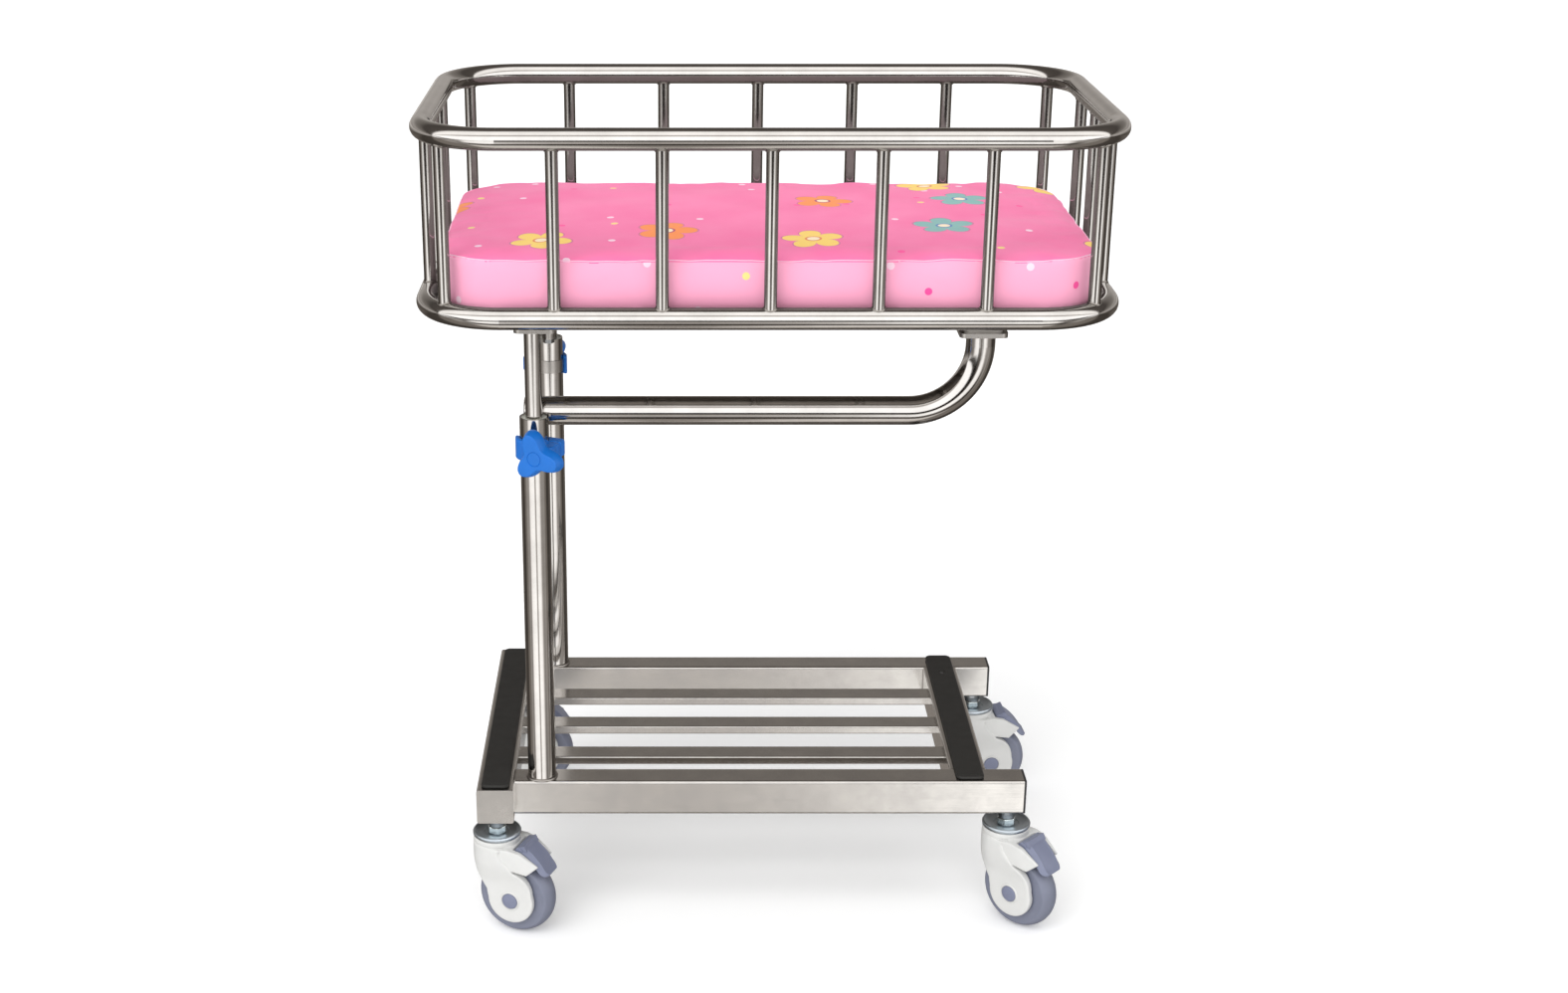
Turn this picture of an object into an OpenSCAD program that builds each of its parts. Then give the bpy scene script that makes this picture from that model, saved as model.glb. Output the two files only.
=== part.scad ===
// Height-adjustable baby crib of welded stainless steel tube on four braked casters.
// Origin: the floor, under the middle of the crib. +X runs along the crib, +Y to its back, +Z up.

/* [Crib] */
// Length of the crib over its rails
crib_length = 900; // [820:10:1000]
// Width of the crib over its rails
crib_width = 520; // [480:10:600]
// Height between the centres of the bottom and the top rail
crib_side = 224; // [160:4:300]
// Height of the bottom rail's centre above the floor, at the lowest setting
bed_height = 880; // [870:5:940]
// Outer diameter of the rail tube
rail_d = 28; // [24:1:32]
// Wall of the rail tube
rail_wall = 1.5; // [1:0.5:3]
// Bend radius of the rails' corners, at the tube's centre
rail_bend = 100; // [80:5:120]
// Outer diameter of the upright bars
bar_d = 16; // [12:1:20]
// Wall of the upright bars
bar_wall = 1.2; // [1:0.1:2]
// Pitch of the upright bars along a long side
bar_pitch = 134; // [120:2:136]
// Upright bars on a long side, without the corner bars
side_bar_count = 5; // [3:2:5]
// Pitch of the upright bars at an end
end_bar_pitch = 108; // [80:2:110]

/* [Bed] */
// Width of the two flat tubes that carry the bed
carrier_w = 60; // [50:2:70]
// Height of those tubes
carrier_h = 12; // [12:1:20]
// Thickness of the deck sheet
deck_t = 1.5; // [1:0.5:3]
// Diameter of the round bars under the deck
deck_bar_d = 12; // [8:1:16]
// Round bars under the deck
deck_bar_count = 3; // [1:1:5]
// Thickness of the mattress at its edge
mattress_t = 71; // [40:1:90]
// Rise of the mattress's middle above its edge
mattress_crown = 9; // [0:1:14]

/* [Masts] */
// Distance of the masts' axis from the middle of the crib
mast_offset = 300; // [280:5:320]
// Distance between the axes of the front and the back mast
mast_spacing = 374; // [340:2:400]
// Outer diameter of a mast
mast_d = 38; // [36:1:42]
// Wall of a mast
mast_wall = 2; // [1.5:0.5:2.5]
// Length of a mast above the base
mast_length = 517; // [460:1:530]
// Outer diameter of the sliding posts
post_d = 22; // [20:1:24]
// Wall of the sliding posts
post_wall = 1.5; // [1:0.5:2.5]
// Length of post inside the mast at the lowest setting
post_insert = 334; // [260:2:400]
// Height of the bushes in the masts and on the posts
bush_h = 30; // [20:1:40]
// Depth of the guide bush below the mast's rim
bush_recess = 2; // [1:0.5:6]

/* [Arm] */
// Outer diameter of the support arm
arm_d = 38; // [30:1:40]
// Wall of the support arm
arm_wall = 2; // [1.5:0.5:3]
// Bend radius of the arm, at the tube's centre
arm_bend = 90; // [70:5:100]
// Distance of the arm's upright end from the middle of the crib
arm_reach = 277; // [250:1:300]
// Height of the mast's rim above the arm's axis
arm_drop = 4.5; // [0:0.5:8]
// Length of arm to the left of the mast's axis
arm_tail = 11; // [8:1:20]
// Height of the packing block between the arm's flange and the bed
arm_spacer_h = 25; // [18:1:27]

/* [Flanges] */
// Thickness of the flange plates
flange_t = 6; // [4:1:8]
// Depth of the flange plates, front to back
flange_depth = 64; // [60:1:70]
// Width of the flange plates on the posts
post_flange_w = 54; // [50:1:58]
// Width of the flange plate on the arm
arm_flange_w = 62; // [56:1:66]
// Distance that the posts' plates stand off the axis, to the right
post_flange_shift = 5; // [2:1:8]
// Height of the packing blocks between the posts' flanges and the bed
post_spacer_h = 8; // [4:1:16]
// Length of the threaded boss under the posts' plates
flange_boss_h = 19; // [10:1:24]
// Thread diameter of the flange bolts and the clamp screws
bolt_d = 8; // [6:1:8]

/* [Clamps] */
// Height of a clamp collar
clamp_h = 28; // [24:1:40]
// Wall of a clamp collar
clamp_wall = 7; // [6:0.5:8]
// Depth of the collar's top below the mast's rim
clamp_depth = 27; // [16:1:40]
// Turn of the clamp's screw away from straight ahead
clamp_turn = 25; // [15:1:35]
// Radius of a knob, to the tip of its lobes
knob_r = 36; // [30:1:40]
// Depth of the hollows between the knob's lobes
knob_hollow = 17; // [10:1:20]
// Depth of a knob, with the hub behind its lobes
knob_t = 20; // [16:1:26]
// Thickness of a knob's lobes
lobe_t = 13; // [8:1:14]

/* [Base] */
// Height of the base's tubes
tube_h = 50; // [40:1:60]
// Wall of the base's tubes
tube_wall = 2; // [1.5:0.5:3]
// Width of the long rails' tube
long_w = 40; // [38:1:50]
// Width of the cross tubes
cross_w = 50; // [44:1:56]
// Length of the base
base_length = 749; // [700:1:800]
// Distance from the masts' axis to the middle of the left cross tube
mast_to_cross = 62; // [50:1:66]
// Length of the left cross tube
left_cross_length = 466; // [440:2:500]
// Distance from the rails' right end to the middle of the right cross tube
right_cross_inset = 76; // [60:1:100]
// Width of a shelf slat
slat_w = 34; // [25:1:50]
// Height of a shelf slat
slat_h = 12; // [8:1:20]
// Wall of a shelf slat
slat_wall = 1.2; // [1:0.1:2]
// Pitch of the shelf slats
slat_pitch = 96; // [80:1:100]
// Shift of the slats towards the front
slat_shift = 4; // [0:1:10]
// Depth of the slats' tops below the base's top
slat_drop = 8; // [2:1:20]
// Width of the rubber pads
pad_w = 38; // [25:1:44]
// Thickness of the rubber pads
pad_t = 5; // [3:0.5:8]
// Distance of the pads' ends from the ends of what carries them
pad_margin = 5; // [2:1:12]
// Distance from the middle of the base to the right pad's screw
pad_screw_offset = 140; // [100:5:160]

/* [Casters] */
// Diameter of a caster wheel
wheel_d = 110; // [100:1:120]
// Width of a caster wheel
wheel_w = 32; // [26:1:34]
// Diameter of the wheel's core
core_d = 60; // [50:1:76]
// Height from the floor to the base's tubes
caster_h = 167; // [162:1:176]
// Distance of the wheel's axle from the swivel's axis
caster_trail = 30; // [26:1:34]
// Diameter of the swivel's head
head_d = 66; // [60:1:70]
// Diameter of a wheel's axle
axle_d = 12; // [8:1:14]
// Distance of a caster's stem from the end of its tube
caster_inset = 22; // [20:1:30]
// Turn of the front left caster
front_left_turn = -22; // [-60:1:60]
// Turn of the front right caster
front_right_turn = -44; // [-60:1:60]
// Turn of the back left caster
back_left_turn = 3; // [-60:1:60]
// Turn of the back right caster
back_right_turn = 4; // [-60:1:60]

/* [Clearances] */
// Gap between parts that slide or turn past each other
run_gap = 0.5; // [0.3:0.1:1]
// Radial clearance of a running fit
fit_gap = 0.05; // [0.02:0.01:0.1]
// Gap between a soft part and what holds it
soft_gap = 0.4; // [0.3:0.1:1]

/* [Hidden] */
$fn = 64;
reach = 1;   // how far a cutting shape runs past what it cuts

// Crib
rail_r = rail_d / 2;
half_x = crib_length / 2 - rail_r;
half_y = crib_width / 2 - rail_r;
corner_x = half_x - rail_bend;
corner_y = half_y - rail_bend;
top_height = bed_height + crib_side;
corner_bar_x = corner_x + rail_bend * cos(45);
corner_bar_y = corner_y + rail_bend * sin(45);
deck_edge = rail_r + soft_gap;
deck_z = bed_height - 1;
mattress_z = deck_z + deck_t + soft_gap;
carrier_z = deck_z - carrier_h;

// Base
base_top = caster_h + tube_h;
mast_x = -mast_offset;
mast_y = mast_spacing / 2;
left_cross_x = mast_x - mast_to_cross;
rails_from = left_cross_x + cross_w / 2;
rails_to = left_cross_x - cross_w / 2 + base_length;
right_cross_x = rails_to - right_cross_inset;
cap_t = 3;
end_plate_t = 2;
right_pad_length = mast_spacing + long_w - 2 * pad_margin;
left_pad_length = left_cross_length - 2 * pad_margin;

// Masts, posts and arm
mast_top = base_top + mast_length;
mast_bore = mast_d - 2 * mast_wall;
post_foot = mast_top - post_insert;
post_flange_z = carrier_z - post_spacer_h - flange_t;
arm_z = mast_top - arm_drop;
arm_y = -mast_y + mast_d / 2 + run_gap + arm_d / 2;
arm_flange_z = carrier_z - arm_spacer_h - flange_t;
arm_straight = 2;
arm_bend_r = min(arm_bend, arm_flange_z - arm_z - arm_straight);
arm_from = mast_x - arm_tail;
saddle_w = 16;
saddle_gap = 6;
carrier_left_x = mast_x + post_flange_shift;
carrier_wall = 2;
flange_round = 8;

// Bolts of the flanges, from the post's or the arm's axis towards the middle of the crib
bolt_r = bolt_d / 2;
bolt_head_r = 0.94 * bolt_d;
bolt_head_h = 0.66 * bolt_d;
boss_r = bolt_d;
boss_at = [20, 15];
plain_bolt_at = [-4, 24];
arm_bolt_at = [14, 24];

// Clamps
clamp_z = mast_top - clamp_depth - clamp_h / 2;
clamp_r = mast_d / 2 + clamp_wall;
screw_x = mast_d / 2 + bolt_r + 1;
ear_x = screw_x + bolt_head_r + 6.5;
ear_back = mast_d / 2 - 2;
clamp_slit = 2;
knob_back = clamp_r + 1;
knob_skirt = knob_back - run_gap;
nut_h = 0.8 * bolt_d;

// Casters, from the floor up and from the swivel's axis forward
wheel_r = wheel_d / 2;
head_r = head_d / 2;
head_gap = 0.3;
dish_z = caster_h - 25;
dish_h = 5;
head_top = dish_z - head_gap;
well_gap = 3;
well_half = wheel_w / 2 + 2;
fork_half = head_r;
drop_r = core_d / 2 + 0.5;
pedal_half = 21;
pedal_r = 87;
pedal_t = 7.5;
pedal_from = 27;
pedal_to = 61.5;
pedal_centre = [caster_trail - 27, wheel_r + 7];
pedal_hinge = [caster_trail + 12, wheel_r + 75];
pivot_r = 6;
CASTERS = [[left_cross_x, -left_cross_length / 2 + caster_inset, front_left_turn],
    [rails_to - caster_inset, -mast_y, front_right_turn],
    [left_cross_x, left_cross_length / 2 - caster_inset, back_left_turn],
    [rails_to - caster_inset, mast_y, back_right_turn]];

// The rail's closed loop as a solid of one radius, with quarter bends at its corners
module rail_loop(r) {
    for (side = [-1, 1]) {
        translate([-corner_x, side * half_y, 0]) rotate([0, 90, 0]) cylinder(r = r, h = 2 * corner_x);
        translate([side * half_x, -corner_y, 0]) rotate([-90, 0, 0]) cylinder(r = r, h = 2 * corner_y);
    }
    for (corner = [[1, 1, 0], [-1, 1, 90], [-1, -1, 180], [1, -1, 270]])
        translate([corner.x * corner_x, corner.y * corner_y, 0])
            rotate([0, 0, corner[2]])
                rotate_extrude(angle = 90) translate([rail_bend, 0]) circle(r = r);
}

module rail(z) {
    color("silver") translate([0, 0, z])
        difference() {
            rail_loop(rail_r);
            rail_loop(rail_r - rail_wall);
        }
}

module bottom_rail() {
    rail(bed_height);
}

module top_rail() {
    rail(top_height);
}

// Upright tubes at the places given, their ends cut to the rails' round
module bars(places) {
    color("silver")
        difference() {
            for (place = places)
                translate([place.x, place.y, bed_height])
                    difference() {
                        cylinder(d = bar_d, h = crib_side);
                        translate([0, 0, -reach])
                            cylinder(d = bar_d - 2 * bar_wall, h = crib_side + 2 * reach);
                    }
            translate([0, 0, bed_height]) rail_loop(rail_r);
            translate([0, 0, top_height]) rail_loop(rail_r);
        }
}

module long_side_bars(side) {
    steps = (side_bar_count - 1) / 2;
    bars(concat([for (i = [-steps:steps]) [i * bar_pitch, side * half_y]],
        [for (end = [-1, 1]) [end * corner_bar_x, side * corner_bar_y]]));
}

module front_bars() {
    long_side_bars(-1);
}

module back_bars() {
    long_side_bars(1);
}

module end_bars() {
    bars([for (end = [-1, 1], i = [-1:1]) [end * half_x, i * end_bar_pitch]]);
}

// A hollow tube of rectangular section along X or Y, its corners rounded
module box_tube(length, w, h, wall, round) {
    difference() {
        rounded_bar(length, w, h, round);
        translate([-reach, 0, 0])
            rounded_bar(length + 2 * reach, w - 2 * wall, h - 2 * wall, round - wall / 2);
    }
}

// A bar along +X, centred on its section
module rounded_bar(length, w, h, round) {
    rotate([90, 0, 90]) linear_extrude(length) rounded_rect(w, h, round);
}

// A rectangle with round corners, centred
module rounded_rect(w, h, round) {
    square([w - 2 * round, h], center = true);
    square([w, h - 2 * round], center = true);
    for (x = [-1, 1], y = [-1, 1])
        translate([x * (w / 2 - round), y * (h / 2 - round)]) circle(r = round, $fn = 32);
}

// The two flat tubes across the crib that carry the bed and take the flange bolts
module bed_carriers() {
    color("silver")
        difference() {
            for (x = [carrier_left_x, arm_reach])
                translate([x, -half_y, carrier_z + carrier_h / 2])
                    rotate([0, 0, 90])
                        box_tube(2 * half_y, carrier_w, carrier_h, carrier_wall, 3);
            translate([0, 0, bed_height]) rail_loop(rail_r);
            flange_bolt_holes();
        }
}

module deck_bars() {
    pitch = (arm_reach - carrier_left_x) / (deck_bar_count + 1);
    color("silver")
        difference() {
            for (i = [1:deck_bar_count])
                translate([carrier_left_x + i * pitch, -half_y, deck_z - deck_bar_d / 2])
                    rotate([-90, 0, 0]) cylinder(d = deck_bar_d, h = 2 * half_y);
            translate([0, 0, bed_height]) rail_loop(rail_r);
        }
}

module mattress_deck() {
    color("gainsboro") translate([0, 0, deck_z])
        linear_extrude(deck_t)
            rounded_rect(2 * (half_x - deck_edge), 2 * (half_y - deck_edge), rail_bend - deck_edge);
}

// The mattress: round corners, sides drawn in between them, and a crowned top
mattress_x = half_x - rail_r - 2 * soft_gap;
mattress_y = half_y - rail_r - 2 * soft_gap;
mattress_round = rail_bend - rail_r - 2 * soft_gap;
side_steps = 8;
corner_steps = 6;
draw_in = 3;
edge_round = 8;

function side_points(from, to, inward) = [for (i = [1:side_steps - 1])
    let (t = i / side_steps) from + t * (to - from) + inward * draw_in * sin(180 * t)];
function corner_points(sx, sy, start) = [for (i = [0:corner_steps])
    let (a = start + 90 * i / corner_steps)
    [sx * (mattress_x - mattress_round) + mattress_round * cos(a),
     sy * (mattress_y - mattress_round) + mattress_round * sin(a)]];
corner_a = corner_points(1, 1, 0);
corner_b = corner_points(-1, 1, 90);
corner_c = corner_points(-1, -1, 180);
corner_d = corner_points(1, -1, 270);
mattress_outline = concat(
    corner_a, side_points(corner_a[corner_steps], corner_b[0], [0, -1]),
    corner_b, side_points(corner_b[corner_steps], corner_c[0], [1, 0]),
    corner_c, side_points(corner_c[corner_steps], corner_d[0], [0, 1]),
    corner_d, side_points(corner_d[corner_steps], corner_a[0], [-1, 0]));

// Each ring of the mattress: its inset from the outline and its height
mattress_rings = concat(
    [for (a = [-90:30:0]) [edge_round * (1 - cos(a)), edge_round * (1 + sin(a))]],
    [for (a = [0:30:90]) [edge_round * (1 - cos(a)),
        mattress_t - edge_round + edge_round * sin(a)]],
    [for (f = [0.3, 0.6, 0.85]) [f * mattress_y, mattress_t + mattress_crown * sin(90 * f)]]);

function ring_points(ring) = [for (p = mattress_outline)
    [p.x * (1 - ring[0] / mattress_x), p.y * (1 - ring[0] / mattress_y), ring[1]]];

module mattress() {
    n = len(mattress_outline);
    rings = len(mattress_rings);
    points = concat([for (ring = mattress_rings) each ring_points(ring)],
        [[0, 0, 0], [0, 0, mattress_t + mattress_crown]]);
    walls = [for (r = [0:rings - 2], i = [0:n - 1])
        let (j = (i + 1) % n)
        each [[r * n + i, (r + 1) * n + i, (r + 1) * n + j], [r * n + i, (r + 1) * n + j, r * n + j]]];
    ends = [for (i = [0:n - 1])
        let (j = (i + 1) % n, last = (rings - 1) * n)
        each [[rings * n, i, j], [rings * n + 1, last + j, last + i]]];
    color("hotpink") translate([0, 0, mattress_z])
        polyhedron(points = points, faces = concat(walls, ends), convexity = 4);
}

// The base's long rails, from the left cross tube to their capped right ends
module long_rail(side) {
    color("silver")
        difference() {
            translate([rails_from, side * mast_y, base_top - tube_h / 2])
                box_tube(rails_to - cap_t - rails_from, long_w, tube_h, tube_wall, 3.5);
            translate([rails_to - caster_inset, side * mast_y, 0]) stud_hole();
        }
}

module front_rail() {
    long_rail(-1);
}

module back_rail() {
    long_rail(1);
}

// The hole in a tube's underside for a caster's stud
module stud_hole() {
    translate([0, 0, caster_h - reach]) cylinder(r = stud_r + fit_gap, h = tube_wall + 2 * reach);
}

module left_cross_tube() {
    color("silver")
        difference() {
            translate([left_cross_x, -left_cross_length / 2 + end_plate_t, base_top - tube_h / 2])
                rotate([0, 0, 90])
                    box_tube(left_cross_length - 2 * end_plate_t, cross_w, tube_h, tube_wall, 3.5);
            for (i = [0, 2]) translate([CASTERS[i].x, CASTERS[i].y, 0]) stud_hole();
        }
}

module cross_end_plates() {
    color("silver")
        for (side = [-1, 1])
            translate([left_cross_x, side * (left_cross_length - end_plate_t) / 2, base_top - tube_h / 2])
                rotate([90, 0, 0])
                    linear_extrude(end_plate_t, center = true) rounded_rect(cross_w, tube_h, 3.5);
}

module right_cross_tube() {
    length = mast_spacing - long_w;
    color("silver")
        translate([right_cross_x, -length / 2, base_top - tube_h / 2])
            rotate([0, 0, 90]) box_tube(length, cross_w, tube_h, tube_wall, 3.5);
}

module rail_end_caps() {
    plug = 12;
    plug_gap = 2 * tube_wall + 2 * fit_gap;
    color("#151515")
        for (side = [-1, 1])
            translate([rails_to - cap_t, side * mast_y, base_top - tube_h / 2]) {
                rounded_bar(cap_t, long_w, tube_h, 3.5);
                translate([-plug, 0, 0]) rounded_bar(plug, long_w - plug_gap, tube_h - plug_gap, 2.5);
            }
}

module shelf_slats() {
    length = right_cross_x - cross_w / 2 - rails_from;
    color("silver")
        for (i = [-1:1])
            translate([rails_from, i * slat_pitch - slat_shift, base_top - slat_drop - slat_h / 2])
                box_tube(length, slat_w, slat_h, slat_wall, 2);
}

// A rubber strip with round corners that cushions what is set on the base
module pad(x, length) {
    translate([x, 0, base_top]) linear_extrude(pad_t) rounded_rect(pad_w, length, 8);
}

module left_pad() {
    color("#343330") pad(left_cross_x, left_pad_length);
}

module right_pad() {
    color("#343330")
        difference() {
            pad(right_cross_x, right_pad_length);
            translate([right_cross_x, pad_screw_offset, base_top - reach])
                cylinder(r = pad_screw_r + fit_gap, h = pad_t + 2 * reach);
        }
}

pad_screw_r = 3;
module pad_screw() {
    sunk = 1.5;
    color("dimgray") translate([right_cross_x, pad_screw_offset, base_top])
        cylinder(r = pad_screw_r, h = pad_t - sunk);
}

// A mast stands on its rail, with a slit at the top that lets the clamp close it on the bush
module mast(side) {
    color("silver") translate([mast_x, side * mast_y, base_top])
        difference() {
            cylinder(d = mast_d, h = mast_length);
            translate([0, 0, -reach]) cylinder(d = mast_bore, h = mast_length + 2 * reach);
            rotate([0, 0, clamp_angle(side)])
                translate([0, -clamp_slit / 2, mast_length - clamp_depth - clamp_h - 10])
                    cube([mast_d, clamp_slit, clamp_depth + clamp_h + 10 + reach]);
        }
}

function clamp_angle(side) = side < 0 ? -clamp_turn : 180 - clamp_turn;

module front_mast() {
    mast(-1);
}

module back_mast() {
    mast(1);
}

// Nylon sleeves in the masts' tops that guide the posts
module mast_bushes() {
    color("#d8d8d2")
        for (side = [-1, 1])
            translate([mast_x, side * mast_y, mast_top - bush_recess - bush_h])
                difference() {
                    cylinder(d = mast_bore, h = bush_h);
                    translate([0, 0, -reach])
                        cylinder(r = post_d / 2 + fit_gap, h = bush_h + 2 * reach);
                }
}

// Places a clamp's own frame: its screw runs along +Y past the mast's right side
module at_clamp(side) {
    translate([mast_x, side * mast_y, clamp_z]) rotate([0, 0, clamp_angle(side)]) children();
}

module screw_hole(r) {
    translate([screw_x, 0, 0]) rotate([90, 0, 0]) cylinder(r = r, h = 4 * clamp_r, center = true);
}

module clamp() {
    color("#1b66b4")
        difference() {
            union() {
                translate([0, 0, -clamp_h / 2]) cylinder(r = clamp_r, h = clamp_h);
                translate([0, -clamp_r, -clamp_h / 2]) cube([ear_x, clamp_r + ear_back, clamp_h]);
            }
            translate([0, 0, -clamp_h]) cylinder(r = mast_d / 2 + 0.02, h = 2 * clamp_h);
            translate([0, -clamp_slit / 2, -clamp_h]) cube([2 * ear_x, clamp_slit, 2 * clamp_h]);
            screw_hole(bolt_r + fit_gap);
            translate([screw_x, ear_back - nut_h, 0])
                rotate([-90, 0, 0]) cylinder(r = bolt_head_r + fit_gap, h = 2 * nut_h, $fn = 6);
        }
}

module front_clamp() {
    at_clamp(-1) clamp();
}

module back_clamp() {
    at_clamp(1) clamp();
}

module clamp_nuts() {
    color("silver")
        for (side = [-1, 1])
            at_clamp(side)
                difference() {
                    translate([screw_x, ear_back - nut_h, 0])
                        rotate([-90, 0, 0]) cylinder(r = bolt_head_r, h = nut_h, $fn = 6);
                    screw_hole(bolt_r + fit_gap);
                }
}

// The knob's outline: three lobes round the screw, from one formula
function knob_outline(first_lobe) = [for (a = [0:5:355])
    let (r = knob_r - knob_hollow / 2 * (1 - cos(3 * (a - first_lobe)))) [r * cos(a), r * sin(a)]];

screw_in_knob = 12;
knob_hub_r = 14;
module knob(first_lobe) {
    color("#2f86e4") translate([screw_x, -knob_back, 0])
        difference() {
            union() {
                translate([0, lobe_t - knob_t, 0])
                    rotate([90, 0, 0]) linear_extrude(lobe_t) polygon(knob_outline(first_lobe));
                rotate([90, 0, 0]) cylinder(r = knob_hub_r, h = knob_t - lobe_t);
                rotate([-90, 0, 0]) cylinder(r = bolt_d, h = knob_back - clamp_r - head_gap);
                translate([0, -knob_t, 0]) rotate([90, 0, 0]) cylinder(r = 9, h = 0.8);
            }
            translate([0, reach + knob_back - clamp_r, 0])
                rotate([90, 0, 0]) cylinder(r = bolt_r, h = screw_in_knob + reach + knob_back - clamp_r);
        }
}

module screw() {
    color("silver") translate([screw_x, ear_back, 0])
        rotate([90, 0, 0]) cylinder(r = bolt_r, h = ear_back + knob_back + screw_in_knob);
}

module front_knob() {
    at_clamp(-1) knob(100);
}

module back_knob() {
    at_clamp(1) knob(10);
}

module front_screw() {
    at_clamp(-1) screw();
}

module back_screw() {
    at_clamp(1) screw();
}

// A post slides in its mast on the guide bush above and its own foot bush below
module post(side) {
    length = post_flange_z - post_foot;
    color("silver") translate([mast_x, side * mast_y, post_foot])
        difference() {
            cylinder(d = post_d, h = length);
            translate([0, 0, -reach]) cylinder(d = post_d - 2 * post_wall, h = length + 2 * reach);
        }
}

module front_post() {
    post(-1);
}

module back_post() {
    post(1);
}

module post_feet() {
    color("#d8d8d2")
        for (side = [-1, 1])
            translate([mast_x, side * mast_y, post_foot])
                difference() {
                    cylinder(r = mast_bore / 2 - fit_gap, h = bush_h);
                    translate([0, 0, -reach]) cylinder(d = post_d, h = bush_h + 2 * reach);
                }
}

// The arm's centreline: level behind the front mast, then a quarter bend up to its flange
module arm_solid(r, over) {
    translate([arm_from - over, arm_y, arm_z])
        rotate([0, 90, 0]) cylinder(r = r, h = arm_reach - arm_bend_r - arm_from + over);
    translate([arm_reach - arm_bend_r, arm_y, arm_z + arm_bend_r])
        rotate([90, 0, 0]) rotate([0, 0, -90])
            rotate_extrude(angle = 90) translate([arm_bend_r, 0]) circle(r = r);
    translate([arm_reach, arm_y, arm_z + arm_bend_r])
        cylinder(r = r, h = arm_flange_z - arm_z - arm_bend_r + over);
}

module support_arm() {
    color("silver")
        difference() {
            arm_solid(arm_d / 2, 0);
            arm_solid(arm_d / 2 - arm_wall, reach);
        }
}

// A pressed steel cap that closes the arm's left end
module arm_end_cap() {
    cap = 4;
    color("silver") translate([arm_from, arm_y, arm_z])
        rotate([0, -90, 0])
            rotate_extrude()
                intersection() {
                    translate([0, -arm_d]) square([arm_d / 2, arm_d + cap]);
                    union() {
                        square([arm_d / 2 - cap, cap]);
                        translate([arm_d / 2 - cap, 0]) circle(r = cap);
                        translate([0, -cap]) square([arm_d / 2 - arm_wall, cap]);
                    }
                    translate([0, -cap]) union() {
                        square([arm_d / 2 - arm_wall, 2 * cap]);
                        translate([0, cap]) square([arm_d / 2, cap]);
                    }
                }
}

// A welded saddle between the front post and the arm, just above the mast's rim
module arm_saddle() {
    z = mast_top + saddle_gap;
    color("silver")
        difference() {
            translate([mast_x - saddle_w / 2, -mast_y, z])
                cube([saddle_w, arm_y + mast_y, arm_z + arm_d / 2 - z]);
            translate([mast_x, -mast_y, z - reach]) cylinder(d = post_d, h = arm_d);
            arm_solid(arm_d / 2, 0);
        }
}

// A flange plate with its packing block on top, the block set back from the crib's outside
module flange(w, spacer_h, inward) {
    linear_extrude(flange_t) rounded_rect(w, flange_depth, flange_round);
    translate([0, inward * 5, flange_t])
        linear_extrude(spacer_h) rounded_rect(w - 8, flange_depth - 10, flange_round);
}

// The posts' flanges, each with a threaded boss below
module post_flanges() {
    color("silver")
        difference() {
            for (side = [-1, 1])
                translate([mast_x, side * mast_y, post_flange_z]) {
                    translate([post_flange_shift, 0, 0]) flange(post_flange_w, post_spacer_h, -side);
                    translate([boss_at.x, -side * boss_at.y, -flange_boss_h])
                        cylinder(r = boss_r, h = flange_boss_h);
                }
            flange_bolt_holes();
        }
}

module arm_flange() {
    color("silver")
        difference() {
            translate([arm_reach, arm_y, arm_flange_z]) flange(arm_flange_w, arm_spacer_h, 1);
            flange_bolt_holes();
        }
}

module flange_bolt_holes() {
    depth = max(arm_spacer_h, post_spacer_h + flange_boss_h) + flange_t;
    flange_bolt_places()
        translate([0, 0, -depth - reach]) cylinder(r = bolt_r + fit_gap, h = depth + carrier_wall + 2 * reach);
}

// Puts a child at each flange bolt's axis, level with the carriers' underside
module flange_bolt_places() {
    for (side = [-1, 1], at = [boss_at, plain_bolt_at])
        translate([mast_x + at.x, side * (mast_y - at.y), carrier_z]) children();
    for (x = [-1, 1])
        translate([arm_reach + x * arm_bolt_at.x, arm_y + arm_bolt_at.y, carrier_z]) children();
}

// A hex bolt from below whose grip is the depth of what it holds
module bolt(grip) {
    translate([0, 0, -grip - bolt_head_h]) cylinder(r = bolt_head_r, h = bolt_head_h, $fn = 6);
    translate([0, 0, -grip]) cylinder(r = bolt_r, h = grip + carrier_h / 2);
}

module flange_bolts() {
    color("silver") {
        for (side = [-1, 1]) {
            translate([mast_x + boss_at.x, side * (mast_y - boss_at.y), carrier_z])
                bolt(post_spacer_h + flange_t + flange_boss_h);
            translate([mast_x + plain_bolt_at.x, side * (mast_y - plain_bolt_at.y), carrier_z])
                bolt(post_spacer_h + flange_t);
        }
        for (x = [-1, 1])
            translate([arm_reach + x * arm_bolt_at.x, arm_y + arm_bolt_at.y, carrier_z])
                bolt(arm_spacer_h + flange_t);
    }
}

// Casters, each in its own frame: swivel axis at the origin, wheel trailing towards +X
stud_r = 5;
pin_r = 6;
pin_length = 22;
stud_length = 14;

module at_caster(i) {
    translate([CASTERS[i].x, CASTERS[i].y, 0]) rotate([0, 0, CASTERS[i][2]]) children();
}

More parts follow.
